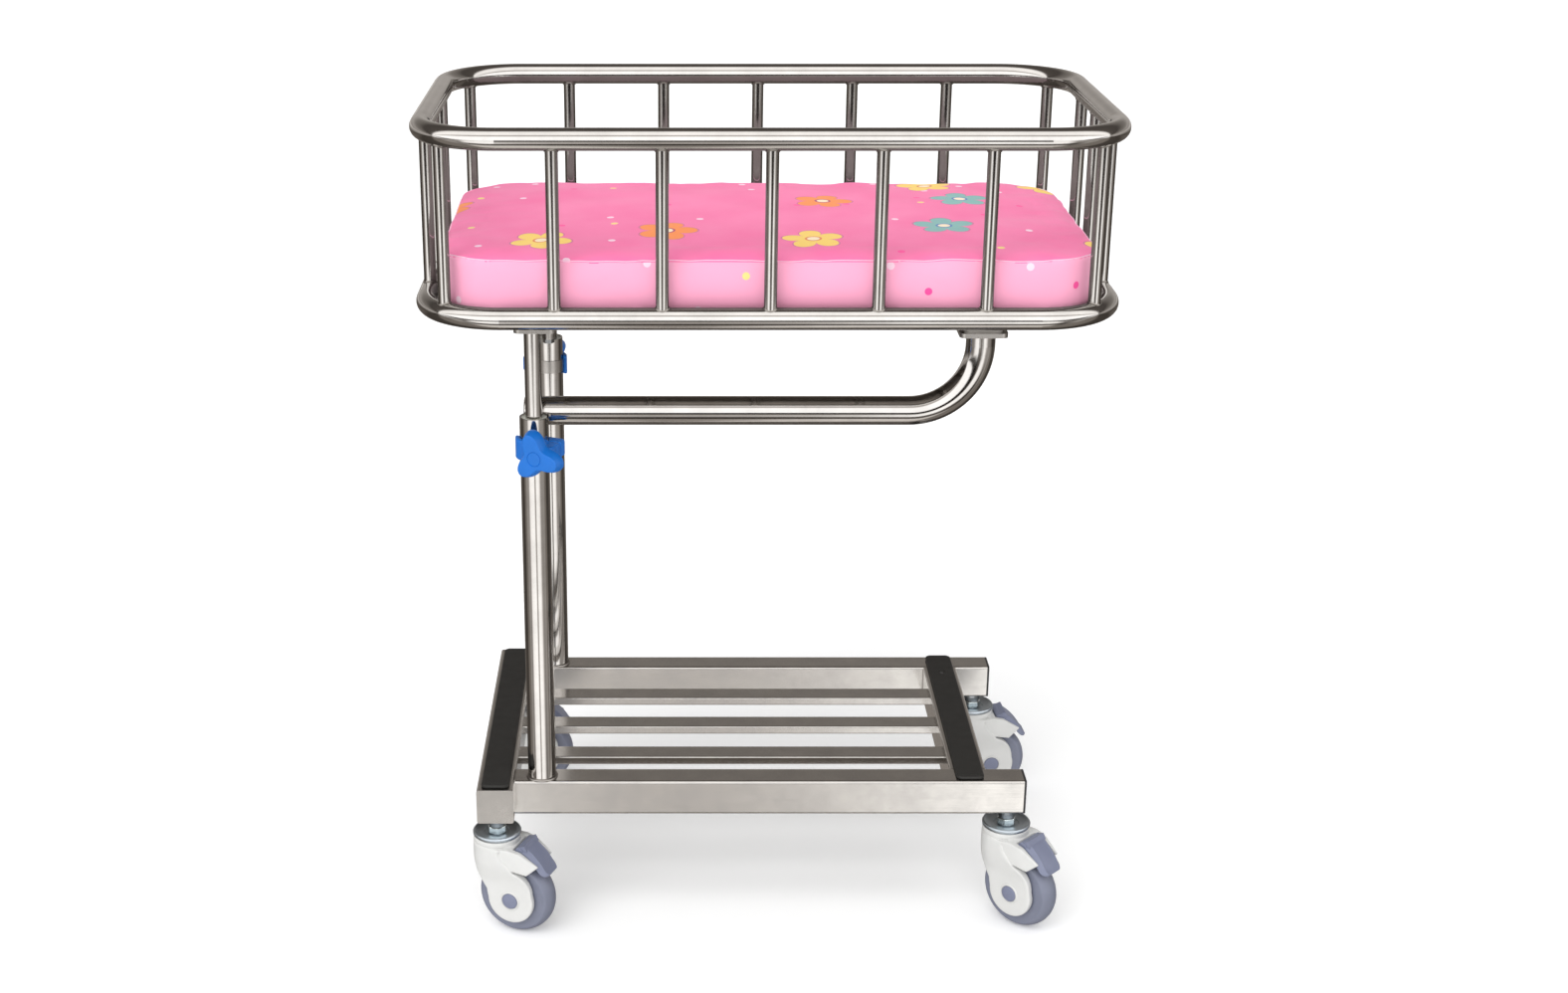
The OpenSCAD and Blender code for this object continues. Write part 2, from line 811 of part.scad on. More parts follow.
// Zinc-plated dish, hex, stud into the tube and pin down into the housing
module caster_stems() {
    color("lightsteelblue")
        for (i = [0:3])
            at_caster(i) {
                translate([0, 0, dish_z])
                    rotate_extrude() {
                        square([head_r - 4, 2]);
                        translate([head_r - 4, 0]) square([4, dish_h]);
                    }
                translate([0, 0, dish_z + 2]) cylinder(r = 15, h = 9, $fn = 6);
                translate([0, 0, dish_z + 11]) cylinder(r = 12, h = caster_h - dish_z - 11);
                translate([0, 0, caster_h]) cylinder(r = stud_r, h = stud_length);
                translate([0, 0, dish_z - pin_length]) cylinder(r = pin_r, h = pin_length);
            }
}

// The housing seen from the side: head and brake wing, and the drop round the axle
housing_side = [[-head_r, head_top], [head_r, head_top], [caster_trail + 20, wheel_r + 81],
    [caster_trail + 42, wheel_r + 60], [caster_trail + 27, wheel_r + 44],
    [caster_trail + 8, wheel_r + 40], [caster_trail - 12, wheel_r + 4],
    [caster_trail - drop_r + 0.5, wheel_r + 5], [-head_r + 13, wheel_r + 30], [-head_r, wheel_r + 58]];

module housing_block() {
    in_caster_plane(3 * fork_half) polygon(housing_side);
    in_caster_plane(3 * fork_half) translate([caster_trail, wheel_r]) circle(r = drop_r);
    in_caster_plane(3 * fork_half) translate([caster_trail - 2, wheel_r + 12]) circle(r = drop_r);
}

// The housing seen from above: round at the head, tapered at the wing
module housing_plan() {
    cylinder(r = head_r, h = head_top);
    linear_extrude(head_top)
        polygon([[0, -fork_half], [caster_trail + 20, -fork_half], [caster_trail + 46, -pedal_half - 2.5],
            [caster_trail + 46, pedal_half + 2.5], [caster_trail + 20, fork_half], [0, fork_half]]);
}

module in_caster_plane(width) {
    rotate([90, 0, 0]) linear_extrude(width, center = true) children();
}

module caster_housing() {
    color("whitesmoke")
        difference() {
            intersection() {
                union() housing_block();
                union() housing_plan();
            }
            in_caster_plane(2 * well_half) translate([caster_trail, wheel_r]) circle(r = wheel_r + well_gap);
            in_caster_plane(2 * pedal_half + 2 * run_gap)
                difference() {
                    translate([pedal_hinge.x - pivot_r - 2, wheel_r + 20]) square([70, 80]);
                    translate(pedal_centre) circle(r = pedal_r - pedal_t - 8);
                }
            in_caster_plane(2 * pedal_half + 2 * run_gap)
                translate(pedal_hinge) circle(r = pivot_r + 2);
            in_caster_plane(3 * fork_half) translate(pedal_hinge) circle(r = 3 + fit_gap);
            in_caster_plane(3 * fork_half) translate([caster_trail, wheel_r]) circle(d = axle_d);
            translate([0, 0, dish_z - pin_length - 1]) cylinder(r = pin_r + fit_gap, h = pin_length + 1);
        }
}

module caster_axle() {
    cap_r = axle_d + 1;
    color("#7f8095")
        rotate([90, 0, 0]) translate([caster_trail, wheel_r, 0]) {
            cylinder(d = axle_d, h = 2 * fork_half, center = true);
            for (side = [0, 1]) mirror([0, 0, side]) translate([0, 0, fork_half]) cylinder(r = cap_r, h = 2.5);
        }
}

module caster_wheel() {
    color("whitesmoke")
        rotate([90, 0, 0]) translate([caster_trail, wheel_r, 0])
            difference() {
                union() {
                    cylinder(d = core_d, h = wheel_w - 4, center = true);
                    cylinder(d = axle_d + 14, h = 2 * (well_half - run_gap), center = true);
                }
                cylinder(r = axle_d / 2 + fit_gap, h = 3 * wheel_w, center = true);
            }
}

module caster_tyre() {
    tread = 22;
    color("#7f8095")
        rotate([90, 0, 0]) translate([caster_trail, wheel_r, 0])
            rotate_extrude()
                intersection() {
                    translate([core_d / 2, -wheel_w / 2]) square([wheel_r - core_d / 2, wheel_w]);
                    translate([wheel_r - tread, 0]) circle(r = tread);
                }
}

// The brake pedal: a curved plate on two stub pins in the wing's walls
module caster_pedal() {
    color("#7f8095") {
        in_caster_plane(2 * pedal_half)
            intersection() {
                translate(pedal_centre)
                    difference() {
                        circle(r = pedal_r);
                        circle(r = pedal_r - pedal_t);
                    }
                translate(pedal_centre) polygon(concat([[0, 0]],
                    [for (a = [pedal_from, (pedal_from + pedal_to) / 2, pedal_to])
                        1.5 * pedal_r * [cos(a), sin(a)]]));
            }
        in_caster_plane(2 * pedal_half)
            difference() {
                union() {
                    translate(pedal_hinge) circle(r = pivot_r);
                    translate(pedal_hinge) rotate(55) translate([0, -pivot_r]) square([10, 2 * pivot_r]);
                }
                translate(pedal_centre)
                    difference() {
                        circle(r = 2 * pedal_r);
                        circle(r = pedal_r - pedal_t / 2);
                    }
            }
        in_caster_plane(2 * fork_half - 2 * run_gap) translate(pedal_hinge) circle(r = 3);
    }
}

module front_left_housing() { at_caster(0) caster_housing(); }
module front_left_axle() { at_caster(0) caster_axle(); }
module front_left_wheel() { at_caster(0) caster_wheel(); }
module front_left_tyre() { at_caster(0) caster_tyre(); }
module front_left_pedal() { at_caster(0) caster_pedal(); }
module front_right_housing() { at_caster(1) caster_housing(); }
module front_right_axle() { at_caster(1) caster_axle(); }
module front_right_wheel() { at_caster(1) caster_wheel(); }
module front_right_tyre() { at_caster(1) caster_tyre(); }
module front_right_pedal() { at_caster(1) caster_pedal(); }
module back_left_housing() { at_caster(2) caster_housing(); }
module back_left_axle() { at_caster(2) caster_axle(); }
module back_left_wheel() { at_caster(2) caster_wheel(); }
module back_left_tyre() { at_caster(2) caster_tyre(); }
module back_left_pedal() { at_caster(2) caster_pedal(); }
module back_right_housing() { at_caster(3) caster_housing(); }
module back_right_axle() { at_caster(3) caster_axle(); }
module back_right_wheel() { at_caster(3) caster_wheel(); }
module back_right_tyre() { at_caster(3) caster_tyre(); }
module back_right_pedal() { at_caster(3) caster_pedal(); }

front_rail();
back_rail();
left_cross_tube();
right_cross_tube();
cross_end_plates();
rail_end_caps();
shelf_slats();
left_pad();
right_pad();
pad_screw();
front_mast();
back_mast();
mast_bushes();
front_clamp();
back_clamp();
clamp_nuts();
caster_stems();
front_knob();
front_screw();
back_knob();
back_screw();
front_post();
back_post();
post_feet();
support_arm();
arm_end_cap();
arm_saddle();
post_flanges();
arm_flange();
flange_bolts();
bed_carriers();
deck_bars();
mattress_deck();
bottom_rail();
top_rail();
front_bars();
back_bars();
end_bars();
mattress();
front_left_housing();
front_left_axle();
front_left_wheel();
front_left_tyre();
front_left_pedal();
front_right_housing();
front_right_axle();
front_right_wheel();
front_right_tyre();
front_right_pedal();
back_left_housing();
back_left_axle();
back_left_wheel();
back_left_tyre();
back_left_pedal();
back_right_housing();
back_right_axle();
back_right_wheel();
back_right_tyre();
back_right_pedal();
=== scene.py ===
# %% [markdown]
# # A hospital baby crib on a lifting frame
# The crib is welded from stainless steel tube: a rounded bed with upright bars, carried by two
# sliding posts and one bent arm, over a low base with shelf slats and four braked casters.
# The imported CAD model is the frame. Every steel tube keeps its CAD shape and only gets a finish.
# What the maker moulded, sewed or welded is built here as its own mesh: the casters, the clamp
# knobs, the rubber pads, the weld beads and the mattress.

# %% Frame and tools
import math

import bmesh
import bpy
import numpy as np
import openvdb
from mathutils import Matrix, Vector, noise
from mathutils.bvhtree import BVHTree


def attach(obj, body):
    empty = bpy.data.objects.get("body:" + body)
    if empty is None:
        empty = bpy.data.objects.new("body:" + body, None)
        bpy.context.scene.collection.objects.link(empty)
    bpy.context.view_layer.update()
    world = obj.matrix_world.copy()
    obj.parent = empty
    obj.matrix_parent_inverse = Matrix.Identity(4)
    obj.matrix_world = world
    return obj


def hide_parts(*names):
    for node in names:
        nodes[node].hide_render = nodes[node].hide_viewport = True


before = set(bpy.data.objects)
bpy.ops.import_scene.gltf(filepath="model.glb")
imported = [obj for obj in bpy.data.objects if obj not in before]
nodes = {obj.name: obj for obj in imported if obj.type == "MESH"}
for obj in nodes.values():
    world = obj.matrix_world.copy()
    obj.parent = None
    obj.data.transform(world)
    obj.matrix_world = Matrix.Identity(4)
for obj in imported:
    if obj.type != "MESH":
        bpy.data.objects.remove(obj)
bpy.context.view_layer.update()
scene = bpy.context.scene
print("CAD pieces:", len(nodes))

# %% [markdown]
# ## Camera
# The photograph was taken from the front, level, with the lens turned down by about 20 degrees.
# Its verticals stay parallel to the frame's middle because the lens looks straight along the
# crib's depth, and a small sideways shift puts the crib where the photograph has it.

# %% Camera
PHOTO_W = 1576
FOCAL_PX = 2184.5
CENTRE_PX = 676.2
SENSOR_MM = 36.0
CAMERA_AT = (-0.121, -2.8558, 1.5998)
LOOKS_DOWN = 20.09

camera_data = bpy.data.cameras.new("camera")
camera_data.sensor_width = SENSOR_MM
camera_data.lens = FOCAL_PX / PHOTO_W * SENSOR_MM
camera_data.shift_x = (PHOTO_W / 2 - CENTRE_PX) / PHOTO_W
camera_data.clip_end = 60
camera = bpy.data.objects.new("camera", camera_data)
camera.location = CAMERA_AT
camera.rotation_euler = (math.radians(90 - LOOKS_DOWN), 0, 0)
scene.collection.objects.link(camera)
scene.camera = camera
print("lens:", round(camera_data.lens, 2), "mm")

# %% [markdown]
# ## Node helper and colours
# Colours are read off as sRGB hex values, and Blender's shaders work in linear light, so one
# function turns the one into the other. Another adds a node with its settings and its links.

# %% Node helper and colours
def linear(hex_colour):
    """An sRGB hex colour as linear red, green, blue and alpha."""
    values = [int(hex_colour[i:i + 2], 16) / 255 for i in (1, 3, 5)]
    return [v / 12.92 if v <= 0.04045 else ((v + 0.055) / 1.055) ** 2.4 for v in values] + [1.0]


def darker(hex_colour, share):
    return "#" + "".join(f"{round(int(hex_colour[i:i + 2], 16) * share):02x}" for i in (1, 3, 5))


def add(tree, kind, inputs=(), **settings):
    """Adds a node: settings are its properties, inputs are values or the sockets they come from."""
    node = tree.nodes.new(kind)
    for name, value in settings.items():
        setattr(node, name, value)
    for key, value in dict(inputs).items():
        if isinstance(value, bpy.types.NodeSocket):
            tree.links.new(value, node.inputs[key])
        else:
            node.inputs[key].default_value = value
    return node


def ramp(tree, factor, stops, interpolation="LINEAR"):
    """A colour ramp through (place, hex colour) stops."""
    node = add(tree, "ShaderNodeValToRGB", {"Fac": factor})
    node.color_ramp.interpolation = interpolation
    elements = node.color_ramp.elements
    while len(elements) < len(stops):
        elements.new(0.5)
    for element, (place, colour) in zip(elements, stops):
        element.position = place
        element.color = linear(colour)
    return node.outputs["Color"]


def new_material(name, colour, metallic, roughness, **sockets):
    """A material with its shader's constant values set; returns it, its tree and its shader."""
    material = bpy.data.materials.new(name)
    material.use_nodes = True
    tree = material.node_tree
    shader = tree.nodes["Principled BSDF"]
    shader.inputs["Base Color"].default_value = linear(colour)
    shader.inputs["Metallic"].default_value = metallic
    shader.inputs["Roughness"].default_value = roughness
    for key, value in sockets.items():
        shader.inputs[key.replace("_", " ")].default_value = value
    return material, tree, shader


print("50% grey in linear light:", [round(v, 3) for v in linear("#808080")[:3]])

# %% [markdown]
# ## Floor, light and what the steel mirrors
# Polished steel shows its surroundings more than itself. A product studio has a white floor and
# white card in front, a dark ceiling and a dark room behind: that gives each tube its bright
# core, its thin dark line and its dark edges. Upright bars get a line of their own down their
# middles, and a table's dark edge in front shows only in level tubes. So rays that bounce off a
# glossy surface meet a sky with those bands, while cloth and plastic are lit by an even white one.

# %% Studio floor
floor_mesh = bpy.data.meshes.new("studio_floor")
FLOOR = 24
floor_mesh.from_pydata([(-FLOOR, -FLOOR, 0), (FLOOR, -FLOOR, 0), (FLOOR, FLOOR, 0), (-FLOOR, FLOOR, 0)],
                       [], [(0, 1, 2, 3)])
floor = bpy.data.objects.new("studio_floor", floor_mesh)
scene.collection.objects.link(floor)
floor_finish, floor_tree, floor_shader = new_material(
    "white studio paper", "#fbfbfb", 0, 0.9, Emission_Color=linear("#ffffff"), Emission_Strength=0.12,
    Specular_IOR_Level=0.1)
floor_grain = add(floor_tree, "ShaderNodeTexNoise", {"Scale": 400.0})
floor_bump = add(floor_tree, "ShaderNodeBump", {"Strength": 0.02, "Height": floor_grain.outputs["Fac"]})
floor_tree.links.new(floor_bump.outputs["Normal"], floor_shader.inputs["Normal"])
floor_mesh.materials.append(floor_finish)
floor.visible_glossy = False

# %% Surroundings
MIRROR_STRENGTH = 2.1
EVEN_STRENGTH = 0.80

world = bpy.data.worlds.new("studio")
scene.world = world
world.use_nodes = True
sky = world.node_tree
sky.nodes.clear()
direction = add(sky, "ShaderNodeTexCoord").outputs["Generated"]
axes = add(sky, "ShaderNodeSeparateXYZ", {"Vector": direction}).outputs
toward_front = add(sky, "ShaderNodeMath", {0: axes["Y"], 1: -1.0}, operation="MULTIPLY").outputs[0]
# Angle from the front horizon over the top to the back, from -180 to 180 degrees, as 0 to 1
pitch = add(sky, "ShaderNodeMath", {0: axes["Z"], 1: toward_front}, operation="ARCTAN2").outputs[0]
pitch_01 = add(sky, "ShaderNodeMapRange",
               {"Value": pitch, "From Min": -math.pi, "From Max": math.pi}).outputs[0]
# Angle round from the front to the right, from -180 to 180 degrees, as 0 to 1
aside = add(sky, "ShaderNodeMath", {0: axes["X"], 1: toward_front}, operation="ARCTAN2").outputs[0]
aside_01 = add(sky, "ShaderNodeMapRange",
               {"Value": aside, "From Min": -math.pi, "From Max": math.pi}).outputs[0]


def sky_bands(angle, stops):
    """Bands of colour by angle in the sky, through (degrees, hex colour) stops."""
    return ramp(sky, angle, [(0.5 + degrees / 360, colour) for degrees, colour in stops])


over = sky_bands(pitch_01, [
    (-176, "#b4b0ac"), (-152, "#b4b0ac"), (-140, "#7c7874"), (-104, "#7c7874"), (-92, "#c8c4c0"),
    (-62, "#c8c4c0"), (-50, "#ffffff"), (-14, "#ffffff"), (-11, "#2c2825"), (-4, "#3a3532"),
    (-1, "#ffffff"), (34, "#ffffff"), (40, "#a8a4a0"), (48, "#a8a4a0"), (54, "#f4f3f1"),
    (86, "#efedeb"), (98, "#4a4541"), (138, "#3f3b38"), (150, "#5f5b57"), (160, "#6b6763"),
    (170, "#8b8783"), (179, "#7c7874")])
around_posts = sky_bands(aside_01, [
    (-178, "#a8a4a0"), (-166, "#8b8783"), (-150, "#6d6965"), (-90, "#8b8783"), (-52, "#8b8783"),
    (-42, "#efedeb"), (-8, "#fbfbfa"), (-4, "#a8a4a0"), (0, "#96928e"), (4, "#a8a4a0"),
    (8, "#fbfbfa"), (30, "#efedeb"), (42, "#8b8783"), (90, "#8b8783"), (150, "#6d6965"),
    (166, "#8b8783"), (178, "#a8a4a0")])
around_bars = sky_bands(aside_01, [
    (-178, "#8b8783"), (-150, "#6d6965"), (-100, "#57524e"), (-60, "#7a7672"), (-44, "#efedeb"),
    (-23, "#fbfbfa"), (-15, "#57524e"), (15, "#57524e"), (23, "#fbfbfa"), (40, "#efedeb"),
    (54, "#7a7672"), (100, "#57524e"), (150, "#6d6965"), (178, "#8b8783")])
# The lens looks down more steeply at the posts than at the bars, and an upright tube's reflection
# keeps that slope, so the height of a ray's direction tells the two apart
bar_height = add(sky, "ShaderNodeMapRange", {"Value": axes["Z"], "From Min": -0.31, "From Max": -0.26})
around = add(sky, "ShaderNodeMix", {0: bar_height.outputs[0], 6: around_posts, 7: around_bars},
             data_type="RGBA").outputs[2]
is_low = add(sky, "ShaderNodeMapRange", {"Value": axes["Z"], "From Min": 0.02, "From Max": -0.16})
band_tint = add(sky, "ShaderNodeMix", {0: is_low.outputs[0], 6: linear("#ffffff"), 7: around},
                data_type="RGBA").outputs[2]
# Below the horizon in front lies the dark edge of the studio's table, which only level tubes show
near_front = sky_bands(aside_01, [(-60, "#000000"), (-42, "#ffffff"), (42, "#ffffff"), (60, "#000000")])
table_edge = sky_bands(pitch_01, [(-58, "#ffffff"), (-53, "#57524e"), (-39, "#57524e"), (-34, "#ffffff")])
edge_tint = add(sky, "ShaderNodeMix", {0: near_front, 6: linear("#ffffff"), 7: table_edge},
                data_type="RGBA").outputs[2]
bands = over
for tint in (band_tint, edge_tint):
    bands = add(sky, "ShaderNodeMix", {0: 1.0, 6: bands, 7: tint}, data_type="RGBA",
                blend_type="MULTIPLY").outputs[2]
mirrored = add(sky, "ShaderNodeBackground", {"Color": bands, "Strength": MIRROR_STRENGTH})
even = add(sky, "ShaderNodeBackground", {"Color": linear("#ffffff"), "Strength": EVEN_STRENGTH})
backdrop = add(sky, "ShaderNodeBackground", {"Color": linear("#ffffff"), "Strength": 1.0})
ray = add(sky, "ShaderNodeLightPath").outputs
lit = add(sky, "ShaderNodeMixShader", {0: ray["Is Glossy Ray"], 1: even.outputs[0], 2: mirrored.outputs[0]})
seen_sky = add(sky, "ShaderNodeMixShader",
               {0: ray["Is Camera Ray"], 1: lit.outputs[0], 2: backdrop.outputs[0]})
add(sky, "ShaderNodeOutputWorld", {"Surface": seen_sky.outputs[0]})
scene.view_settings.view_transform = "Standard"

# %% Soft light
sun_data = bpy.data.lights.new("window", "SUN")
sun_data.energy = 1.6
sun_data.angle = math.radians(55)
sun = bpy.data.objects.new("window", sun_data)
sun.rotation_euler = Vector((0.35, 0.8, -0.85)).to_track_quat("-Z", "Y").to_euler()
sun.visible_glossy = False
scene.collection.objects.link(sun)

# %% [markdown]
# ## Stainless steel
# The tube is 304 stainless, ground and then buffed: clear reflections with a fine haze along
# the belt's marks. Those marks are a few hundredths of a millimetre apart, far too fine to show,
# so they are drawn about a millimetre apart. Broad, faint clouds come from the buffing wheel's
# uneven pressure. A metal's colour is its reflection's tint: 304 is slightly warm.

# %% Stainless finishes
MARK_SPACING = 0.0012
MARK_LENGTH = 0.06
CLOUD_SIZE = 0.045


def stainless(name, colour, roughness, run, haze=0.08, relief=0.05):
    """Ground steel whose marks run along the axis given, or everywhere alike where run is None."""
    material, tree, shader = new_material(name, colour, 1.0, roughness)
    where = add(tree, "ShaderNodeTexCoord").outputs["Object"]
    fine = 1 / MARK_SPACING
    scale = [fine if axis != run else 1 / MARK_LENGTH for axis in "xyz"]
    stretched = add(tree, "ShaderNodeMapping", {"Vector": where, "Scale": scale}).outputs[0]
    marks = add(tree, "ShaderNodeTexNoise", {"Vector": stretched, "Scale": 1.0, "Detail": 3.0}).outputs["Fac"]
    clouds = add(tree, "ShaderNodeTexNoise",
                 {"Vector": where, "Scale": 1 / CLOUD_SIZE, "Detail": 4.0, "Roughness": 0.6}).outputs["Fac"]
    both_marks = add(tree, "ShaderNodeMath", {0: marks, 1: clouds}, operation="ADD").outputs[0]
    rough = add(tree, "ShaderNodeMapRange", {"Value": both_marks, "From Min": 0.6, "From Max": 1.4,
                                             "To Min": roughness - haze / 2, "To Max": roughness + haze})
    tree.links.new(rough.outputs[0], shader.inputs["Roughness"])
    tint = ramp(tree, clouds, [(0.3, colour), (0.7, darker(colour, 0.93))])
    tree.links.new(tint, shader.inputs["Base Color"])
    bump = add(tree, "ShaderNodeBump", {"Strength": relief, "Distance": 0.0002, "Height": marks})
    tree.links.new(bump.outputs[0], shader.inputs["Normal"])
    return material


TUBE_STEEL = "#c0bdba"
FLAT_STEEL = "#c6c3bf"
buffed_all = stainless("buffed 304 stainless, bent tube", TUBE_STEEL, 0.09, None, haze=0.03, relief=0.01)
buffed_up = stainless("buffed 304 stainless, upright tube", TUBE_STEEL, 0.09, "z", haze=0.03, relief=0.015)
ground_along = stainless("ground 304 stainless, long rail", FLAT_STEEL, 0.18, "x", haze=0.05, relief=0.02)
ground_across = stainless("ground 304 stainless, cross tube", FLAT_STEEL, 0.18, "y", haze=0.05, relief=0.02)
plate_steel = stainless("linished 304 stainless plate", "#b4b0ac", 0.28, None)
weld_steel = stainless("brushed weld metal", "#a39e99", 0.32, None, haze=0.12, relief=0.1)
screw_steel = stainless("zinc-plated screw steel", "#b3b6b9", 0.22, None)
nut_plate = stainless("bright zinc nut", "#dfe8ea", 0.24, None, haze=0.05, relief=0.01)
dish_plate = stainless("bright zinc plate", "#c3ccd4", 0.40, None, haze=0.08, relief=0.01)
print("steels:", [m.name for m in bpy.data.materials if "stainless" in m.name])

# %% [markdown]
# ## Plastics and rubber
# The caster housings are injection-moulded white nylon, the treads and pedals a grey soft and a
# grey hard plastic, and the clamps blue glass-filled nylon. Moulded plastic has an IOR near 1.5
# and a spark-eroded grain of about 0.3 mm that softens its shine. The pads are black rubber.

# %% Moulded finishes
PATCH_SIZE = 0.025


def moulded(name, colour, roughness, grain, relief=0.06, mottle=0.97, **sockets):
    """Moulded plastic or rubber: grain is the texture's size in metres."""
    material, tree, shader = new_material(name, colour, 0.0, roughness, **sockets)
    where = add(tree, "ShaderNodeTexCoord").outputs["Object"]
    pits, patches = (
        add(tree, "ShaderNodeTexNoise", {"Vector": where, "Scale": scale, "Detail": detail}).outputs["Fac"]
        for scale, detail in ((1 / grain, 2.0), (1 / PATCH_SIZE, 3.0)))
    tint = ramp(tree, patches, [(0.35, colour), (0.65, darker(colour, mottle))])
    tree.links.new(tint, shader.inputs["Base Color"])
    rough = add(tree, "ShaderNodeMapRange", {"Value": patches, "From Min": 0.3, "From Max": 0.7,
                                             "To Min": roughness - 0.04, "To Max": roughness + 0.05})
    tree.links.new(rough.outputs[0], shader.inputs["Roughness"])
    bump = add(tree, "ShaderNodeBump", {"Strength": relief, "Distance": 0.0003, "Height": pits})
    tree.links.new(bump.outputs[0], shader.inputs["Normal"])
    return material


white_nylon = moulded("white moulded nylon", "#d3d3d1", 0.34, 0.0006, relief=0.03, mottle=0.985, IOR=1.53)
grey_plastic = moulded("grey moulded polypropylene", "#797e94", 0.38, 0.0006, IOR=1.49)
tread_rubber = moulded("grey thermoplastic rubber", "#777b8c", 0.40, 0.0008, relief=0.08, IOR=1.5)
blue_nylon = moulded("blue glass-filled nylon", "#166cc6", 0.36, 0.0007, relief=0.08, IOR=1.42)
black_rubber = moulded("black moulded rubber", "#22211f", 0.62, 0.0009, relief=0.12, IOR=1.45)
black_plastic = moulded("black moulded polyethylene", "#1b1b1c", 0.38, 0.0007, IOR=1.51)
bearing_nylon = moulded("natural nylon", "#dcdcd2", 0.45, 0.0007, IOR=1.53)
print("plastics ready")

# %% [markdown]
# ## Finishes onto the CAD pieces
# A CAD piece whose shape is right keeps it and only changes its material.

# %% Finishes onto the CAD pieces
FINISH = {
    buffed_all: "top_rail bottom_rail support_arm arm_end_cap",
    buffed_up: "front_mast back_mast front_post back_post front_bars back_bars end_bars",
    ground_along: "front_rail back_rail shelf_slats",
    ground_across: "left_cross_tube right_cross_tube bed_carriers deck_bars",
    plate_steel: "post_flanges arm_flange mattress_deck arm_saddle cross_end_plates",
    screw_steel: "flange_bolts front_screw back_screw clamp_nuts pad_screw",
    dish_plate: "caster_stems",
    bearing_nylon: "mast_bushes post_feet",
    black_plastic: "rail_end_caps",
    black_rubber: "left_pad right_pad",
    blue_nylon: "front_clamp back_clamp front_knob back_knob",
}
CASTERS = ("front_left", "front_right", "back_left", "back_right")
for name in CASTERS:
    FINISH[white_nylon] = FINISH.get(white_nylon, "") + f" {name}_housing {name}_wheel"
    FINISH[grey_plastic] = FINISH.get(grey_plastic, "") + f" {name}_axle {name}_pedal"
    FINISH[tread_rubber] = FINISH.get(tread_rubber, "") + f" {name}_tyre"


def finish_piece(obj, material):
    obj.data.materials.clear()
    obj.data.materials.append(material)


for material, names in FINISH.items():
    for name in names.split():
        finish_piece(nodes[name], material)
print("CAD pieces with a finish:", sum(len(names.split()) for names in FINISH.values()))

# %% [markdown]
# ## Mesh helpers
# Most small pieces are a closed loop given thickness, a profile turned round an axis, or an
# outline pulled into a slab. Three helpers make those, and one hangs the result on its body.

# %% Mesh helpers
def piece(name, vertices, faces, material, body, slot, sharp_from=40):
    """Makes an object from a mesh in the crib's own frame and lets it ride on a body."""
    mesh = bpy.data.meshes.new(name)
    mesh.from_pydata([tuple(v) for v in vertices], [], faces)
    mesh.validate()
    work = bmesh.new()
    work.from_mesh(mesh)
    bmesh.ops.recalc_face_normals(work, faces=work.faces)
    work.to_mesh(mesh)
    work.free()
    mesh.polygons.foreach_set("use_smooth", [True] * len(mesh.polygons))
    mesh.set_sharp_from_angle(angle=math.radians(sharp_from))
    mesh.materials.append(material)
    obj = bpy.data.objects.new(name, mesh)
    scene.collection.objects.link(obj)
    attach(obj, body)
    return obj


def ring_faces(rings, count, closed=False):
    """Faces between rings of count points each; closed also joins the last ring to the first."""
    faces = []
    for i in range(rings if closed else rings - 1):
        j = (i + 1) % rings
        for k in range(count):
            m = (k + 1) % count
            faces.append((i * count + k, i * count + m, j * count + m, j * count + k))
    return faces


def swept(points, radius, closed=True, sides=8, lead=Vector((0, 0, 1))):
    """Vertices and faces of a round bead along a line of points."""
    points = [Vector(p) for p in points]
    count = len(points)
    vertices = []
    for i, p in enumerate(points):
        before = points[i - 1] if closed or i else p
        after = points[(i + 1) % count] if closed or i < count - 1 else p
        along = (after - before).normalized()
        side = along.cross(lead)
        side = side.normalized() if side.length > 1e-6 else along.orthogonal().normalized()
        up = side.cross(along)
        for k in range(sides):
            a = 2 * math.pi * k / sides
            vertices.append(p + radius * (math.cos(a) * side + math.sin(a) * up))
    faces = ring_faces(count, sides, closed)
    if not closed:
        faces.append(tuple(range(sides)))
        faces.append(tuple((count - 1) * sides + k for k in range(sides)))
    return vertices, faces


def turned(profile, steps=64, place=Matrix.Identity(4)):
    """A (radius, height) profile turned round Z, then put in place. Ends on the axis are closed."""
    vertices = []
    for r, z in profile:
        for k in range(steps):
            a = 2 * math.pi * k / steps
            vertices.append(place @ Vector((r * math.cos(a), r * math.sin(a), z)))
    faces = ring_faces(len(profile), steps)
    for ring, (r, _) in ((0, profile[0]), (len(profile) - 1, profile[-1])):
        if r > 0 and profile[0] != profile[-1]:
            faces.append(tuple(ring * steps + k for k in range(steps)))
    return vertices, faces


def joined(parts):
    """Several (vertices, faces) as one."""
    vertices, faces = [], []
    for part_vertices, part_faces in parts:
        start = len(vertices)
        vertices += part_vertices
        faces += [tuple(start + i for i in face) for face in part_faces]
    return vertices, faces


print("mesh helpers ready")

# %% [markdown]
# ## Weld beads
# Each bar is cut to the rail's round and welded all the way round, then brushed. The bead lies
# on the line where two cylinders meet: at an angle round the bar, the rail's surface is lower
# the further that point is from the rail's middle.

# %% Weld beads round the bars
RAIL_R, BAR_R = 0.014, 0.008
RAIL_Z = (0.880, 1.104)
HALF_X, HALF_Y, BEND = 0.436, 0.246, 0.100
BAR_PITCH, END_PITCH = 0.134, 0.108
diagonal = BEND * math.cos(math.radians(45))
corner_x, corner_y = HALF_X - BEND + diagonal, HALF_Y - BEND + diagonal


